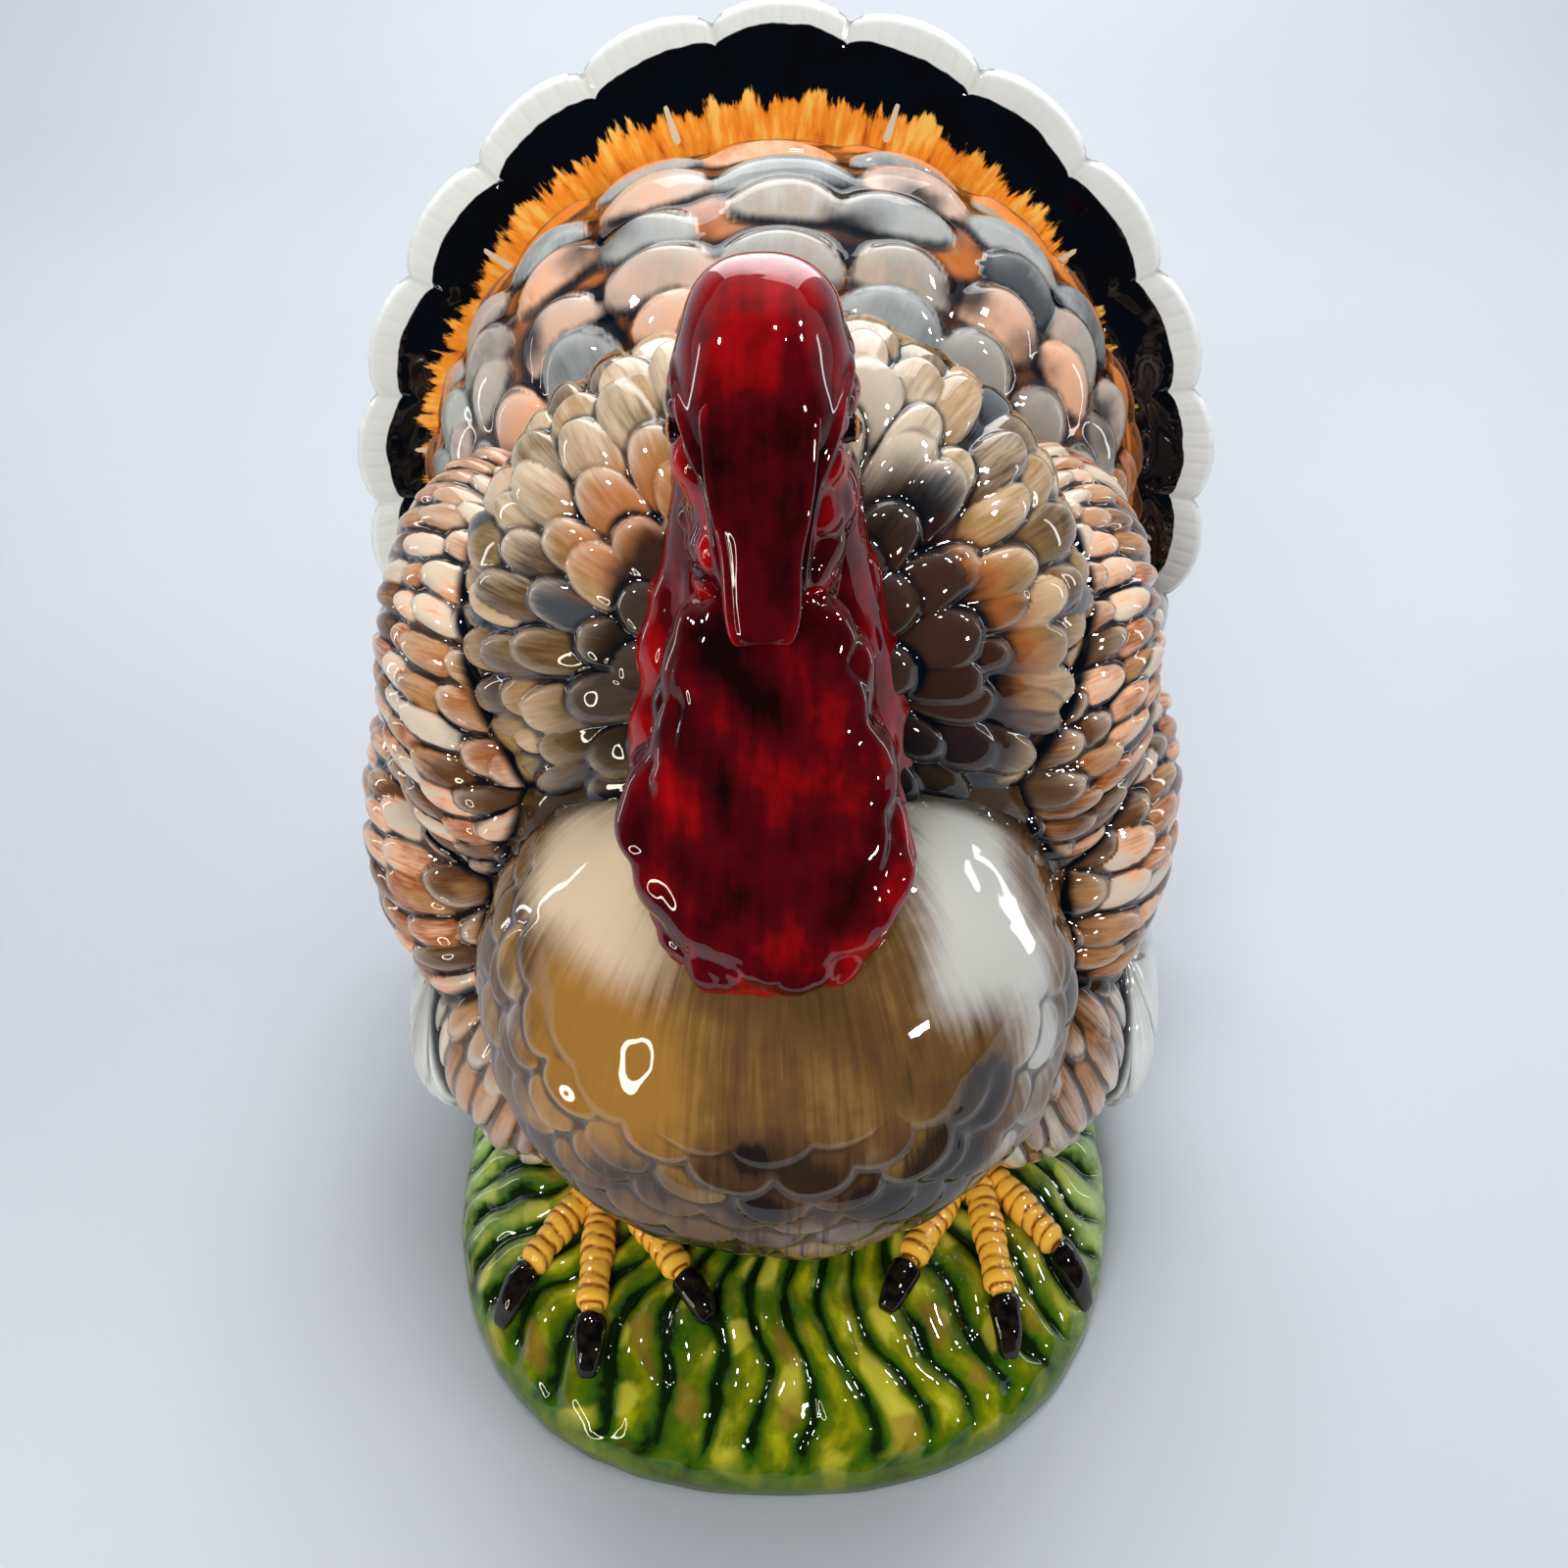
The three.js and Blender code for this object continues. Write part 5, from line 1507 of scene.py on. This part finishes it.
def make_neck():
    sizes = (NECK_HEIGHT, NECK_HALF_WIDTH, NECK_HALF_DEPTH)
    points, _, ends = turned(NECK_SHARES, *sizes, TURNED_CELLS["neck"])
    bumps = lumps(points, **NECK_LUMPS)
    relief = bumps - NECK_SETTLE
    placed, *ends = stood(points, relief, ends, NECK_PLACE, NECK_FOOT, NECK_TOP_SHIFT, NECK_HEIGHT)
    side = smooth(0.3, 0.8, np.abs(points[..., 0]) / NECK_HALF_WIDTH)
    high = bumps / NECK_LUMPS["height"]
    skin = shell(placed, ends, high=high, side=points[..., 0], level=placed[..., 2], red=0.3 + 0.4 * side)
    piece("neck_skin", skin, ["neck"], [flesh_glaze("flesh_glaze")])


def beak_glaze():
    """Glaze of the beak: brushed horn with a dark mouth"""
    paint = Glaze("beak_glaze", peel_size=HORN_PEEL_SIZE)
    grain = paint.noise(paint.vector("turn_round", ("out", 4.0)), 3.0, 4)
    colour = paint.ramp(grain, [(0.3, "umber"), (0.5, "horn"), (0.8, "cream")])
    return paint.finish(paint.mix(paint.step("mouth", 0.4, 0.9), colour, "umber"))


def make_beak():
    sizes = (BEAK_LENGTH, BEAK_HALF_WIDTH, BEAK_HALF_HEIGHT)
    points, angles, ends = turned(BEAK_SHARES, *sizes, TURNED_CELLS["beak"])
    mouth = bell(np.abs(np.cos(angles)) - 0.25, 0.12) * (np.cos(angles) > 0) + 0 * points[..., 0]
    turn = np.array(Matrix.Rotation(BEAK_PITCH_ANGLE, 3, "X")).T
    at = np.array([0, HEAD["at"][1] - HEAD["front"] / 2, HEAD["at"][2] - BEAK_DROP])
    placed, *ends = [part @ turn + at for part in (raised(points, -MOUTH_DEPTH * mouth), *ends)]
    skin = shell(placed, ends, mouth=mouth, turn_round=np.sin(angles), out=points[..., 2] / BEAK_LENGTH)
    piece("beak_horn", skin, ["beak"], [beak_glaze()])


def eye_glaze():
    """Glaze of an eye: amber ring round a black pupil"""
    paint = Glaze("eye_glaze")
    share = paint.total("out", (paint.noise(paint.place, 300.0, 2), 0.04))
    tones = [(0.66, "maroon"), (0.72, "amber"), (0.82, "amber"), (0.88, "claw black")]
    return paint.finish(paint.ramp(share, tones))


def make_eyes():
    glaze = eye_glaze()
    forward, rise = EYE_FORWARD / HEAD["front"], EYE_RISE / HEAD["up"]
    out = HEAD["width"] * math.sqrt(1 - forward ** 2 - rise ** 2) ** HEAD["fullness"] - EYE_SINK
    for side, sign in SIDES.items():
        middle = (sign * out, HEAD["at"][1] - EYE_FORWARD, HEAD["at"][2] + EYE_RISE)
        form = {"at": middle, **{name: EYE_RADIUS for name in SIZE_NAMES}}
        grid = lobe_grid(form, (sign, 0, 0), (0, 0, 1), 40, EYE_SPANS)
        ways = (grid["points"] - np.array(middle)) / EYE_RADIUS
        facing = ways[..., 0] * sign
        swell = IRIS_SWELL * smooth(0.93, 0.97, facing) - LID_SINK * smooth(0.55, 0.5, facing)
        skin = shell(grid["points"] + ways * swell[..., None], grid["ends"], out=facing)
        piece(f"{side}_eyeball", skin, [f"{side}_eye"], [glaze])


# Feet


def along_foot(points, foot, which, start=0, droop=0):
    """Lays an upright turned piece along a toe's direction on the mound's skin"""
    turn = math.radians(TOE_ANGLES[which] + foot["turn"])
    along = (foot["sign"] * math.sin(turn), -math.cos(turn))
    side = (-along[1], along[0])
    reach = start + points[..., 2]
    x = foot["sign"] * foot["spread"] + along[0] * reach
    y = foot["place"] + along[1] * reach
    fall = droop * (points[..., 2] / CLAW_LENGTH) ** 2
    z = mound_skin(x, y) + TOE_RADIUS - TOE_SINK - fall + points[..., 1]
    return np.stack([x + side[0] * points[..., 0], y + side[1] * points[..., 0], z], -1)


def toe_glaze():
    """Glaze of the toes: ochre, brown in their creases"""
    paint = Glaze("toe_glaze", peel_size=TOE_PEEL_SIZE)
    cloud = paint.noise(paint.place, 220.0, 4, 0.6)
    share = paint.total("crease", (paint.less(cloud, 0.5), 0.9))
    colour = paint.ramp(share, [(0.25, "toe ochre"), (0.55, "amber"), (0.9, "toe brown")])
    return paint.finish(paint.mix(paint.step(cloud, 0.62, 0.75), colour, "yellow"))


def claw_glaze():
    paint = Glaze("claw_glaze", peel_size=HORN_PEEL_SIZE)
    return paint.finish(paint.ramp(paint.noise(paint.place, 300.0), [(0.4, "claw black"), (0.9, "umber")]))


def creases(travel, ring, wobble):
    """1 in the creases between rings along a travel, which wobble aside"""
    return (1 - np.abs(np.cos(np.pi * travel / ring + wobble))) ** 2


def make_toe(name, foot, which, glaze):
    points, _, ends = turned(TOE_SHARES, TOE_LENGTHS[which], TOE_RADIUS, TOE_RADIUS, TURNED_CELLS["toe"])
    travel = points[..., 2]
    wobble = 0.3 * ripple(points, CREASE_RIPPLE_SIZE, SEEDS["toe"])
    crease = creases(travel, TOE_RING, 0.25 * np.sin(travel * TOE_WAVES_PER_METRE) + wobble)
    laid, *ends = [along_foot(part, foot, which) for part in (raised(points, -CREASE_DEPTH * crease), *ends)]
    skin = shell(laid, ends, crease=crease)
    piece(f"{name}_{which}_toe_rings", skin, [f"{name}_{which}_toe"], [glaze])


def make_claw(name, foot, which, glaze):
    points, _, ends = turned(CLAW_SHARES, CLAW_LENGTH, CLAW_RADIUS, CLAW_RADIUS, TURNED_CELLS["claw"])
    keel = CLAW_RIPPLE * ripple(points, CLAW_RIPPLE_SIZE, SEEDS["claw"])
    start = TOE_LENGTHS[which] - CLAW_OVERLAP
    laid, *ends = [
        along_foot(part, foot, which, start, CLAW_DROOP) for part in (raised(points, keel), *ends)
    ]
    piece(f"{name}_{which}_talon", shell(laid, ends), [f"{name}_{which}_claw"], [glaze])


def make_shank(name, foot, glaze):
    sizes = (SHANK_REACH, SHANK_RADIUS, SHANK_RADIUS)
    points, _, ends = turned(SHANK_SHARES, *sizes, TURNED_CELLS["shank"])
    wobble = 0.3 * ripple(points, CREASE_RIPPLE_SIZE, SEEDS["shank"])
    crease = creases(points[..., 2], SHANK_RING, wobble)
    x, y = foot["sign"] * foot["spread"], foot["place"]
    base = np.array([x, y, mound_skin(x, y) - SHANK_SINK])
    placed, *ends = [part + base for part in (raised(points, -CREASE_DEPTH * crease), *ends)]
    piece(f"{name}_leg", shell(placed, ends, crease=crease), [f"{name}_shank"], [glaze])


def make_feet():
    toe_paint, claw_paint = toe_glaze(), claw_glaze()
    for name, foot in FEET.items():
        for which in TOE_LENGTHS:
            make_toe(name, foot, which, toe_paint)
            make_claw(name, foot, which, claw_paint)
        make_shank(name, foot, toe_paint)


# Floor, lights and camera


def floor_material():
    """Pale cloth of the studio's floor"""
    paint = Glaze("studio_cloth", roughness=0.6, coat=0.0, **CLOTH_PEEL)
    return paint.finish(paint.mix(paint.noise(paint.place, 3.0, 4), "floor light", "floor shade"))


def sweep(points, name, cloth):
    """Smooth open sheet of the studio"""
    rows, columns = points.shape[:2]
    faces = quad_faces(np.arange(rows * columns).reshape(rows, columns))
    obj = mesh_object(name, points.reshape(-1, 3), faces.tolist(), [cloth])
    return obj


def make_studio():
    """Pale sweep of floor and backdrop, whose front part does not mirror in the glaze"""
    columns, rows = FLOOR_CELLS
    travel = np.linspace(*FLOOR_SPAN, rows)
    past = travel - BEND_START
    angle = np.clip(past / BEND_RADIUS, 0, np.pi / 2)
    y = np.minimum(travel, BEND_START) + BEND_RADIUS * np.sin(angle)
    z = BEND_RADIUS * (1 - np.cos(angle)) + np.maximum(past - BEND_RADIUS * np.pi / 2, 0)
    across = np.linspace(-FLOOR_HALF_WIDTH, FLOOR_HALF_WIDTH, columns)
    points = np.stack(np.broadcast_arrays(across, y[:, None], z[:, None]), -1)
    cloth = floor_material()
    edge = int(np.searchsorted(travel, FLOOR_SPLIT))
    sweep(points[edge:], "studio_sweep", cloth)
    sweep(points[:edge + 1], "studio_apron", cloth).visible_glossy = False


def lamp(name, place, target, width, height, power, seen):
    """Soft lamp that looks at a target, and is seen by mirrors, by matt paint or by both"""
    light = bpy.data.lights.new(name, "AREA")
    light.shape = "RECTANGLE"
    light.size = width
    light.size_y = height
    light.energy = power
    obj = bpy.data.objects.new(name, light)
    bpy.context.scene.collection.objects.link(obj)
    obj.location = place
    obj.rotation_mode = "QUATERNION"
    obj.rotation_quaternion = (Vector(target) - Vector(place)).to_track_quat("-Z", "Y")
    obj.visible_glossy = seen != "matt"
    obj.visible_diffuse = seen != "mirrors"
    return obj


def ring_lamp():
    """Round lamp that shines from its rim only"""
    light = lamp("low_ring", *RING_LAMP).data
    light.shape = "ELLIPSE"
    light.use_nodes = True
    tree = light.node_tree
    spot = add_node(tree, "NewGeometry", {}).outputs["Parametric"]
    gap = add_node(tree, "VectorMath", {0: spot, 1: (0.5, 0.5, 0)}, operation="DISTANCE")
    low, high = RING_SHARES
    ring = add_node(tree, "MapRange", {"From Min": low, "From Max": high, "Value": gap.outputs["Value"]})
    emission = tree.nodes["Emission"]
    emission.inputs["Color"].default_value = RING_COLOUR
    tree.links.new(ring.outputs["Result"], emission.inputs["Strength"])


def make_world():
    """World that is dark in front in the glaze's mirror, and pale behind and as a backdrop"""
    world = bpy.data.worlds.new("studio_world")
    bpy.context.scene.world = world
    world.use_nodes = True
    tree = world.node_tree
    place = add_node(tree, "TexCoord", {}).outputs["Generated"]
    behind = add_node(tree, "SeparateXYZ", {"Vector": place}).outputs["Y"]
    low, high = WORLD_SPAN
    span = add_node(tree, "MapRange", {"From Min": low, "From Max": high, "Value": behind})
    seen = add_node(tree, "LightPath", {}).outputs["Is Camera Ray"]
    inputs = {MIX_SHARE: span.outputs["Result"], MIX_FIRST: WORLD_FRONT, MIX_SECOND: WORLD_BACK}
    colour = add_node(tree, "Mix", inputs, data_type="RGBA").outputs[MIX_RESULT]
    inputs = {MIX_SHARE: seen, MIX_FIRST: colour, MIX_SECOND: WORLD_BACK}
    colour = add_node(tree, "Mix", inputs, data_type="RGBA").outputs[MIX_RESULT]
    tree.links.new(colour, tree.nodes["Background"].inputs["Color"])
    tree.nodes["Background"].inputs["Strength"].default_value = WORLD_STRENGTH


def make_lights():
    for name, settings in LAMPS.items():
        lamp(name, *settings)
    for index, (size, place) in enumerate(GLINTS):
        lamp(f"glint_{index}", place, MIDDLE, size, size, GLINT_POWER * size ** 2, "mirrors")
    ring_lamp()
    make_world()


def make_camera():
    """Camera at the photograph's angle, with a little roll"""
    data = bpy.data.cameras.new("photo_camera")
    data.sensor_width = SENSOR_WIDTH
    data.lens = SENSOR_WIDTH * FOCAL_SHARE
    data.clip_start = NEAR_CLIP
    data.clip_end = FAR_CLIP
    right = Vector((math.cos(CAMERA_ASIDE_ANGLE), math.sin(CAMERA_ASIDE_ANGLE), 0))
    level = Vector((-right.y, right.x, 0))
    ahead = level * math.cos(CAMERA_DOWN_ANGLE) - Vector((0, 0, math.sin(CAMERA_DOWN_ANGLE)))
    up = right.cross(ahead)
    cosine, sine = math.cos(CAMERA_ROLL_ANGLE), math.sin(CAMERA_ROLL_ANGLE)
    turn = Matrix((right * cosine + up * sine, up * cosine - right * sine, -ahead)).transposed()
    camera = bpy.data.objects.new("photo_camera", data)
    bpy.context.scene.collection.objects.link(camera)
    camera.matrix_world = Matrix.Translation(CAMERA_PLACE) @ turn.to_4x4()
    bpy.context.scene.camera = camera


make_cape()
make_coverts()
make_rump()
make_wings()
make_flanks()
make_quills()
make_body()
make_fan()
make_mound()
make_neck()
make_head()
make_snood()
make_wattle()
make_beak()
make_eyes()
make_feet()
make_studio()
make_lights()
make_camera()
bpy.context.scene.view_settings.view_transform = "Standard"
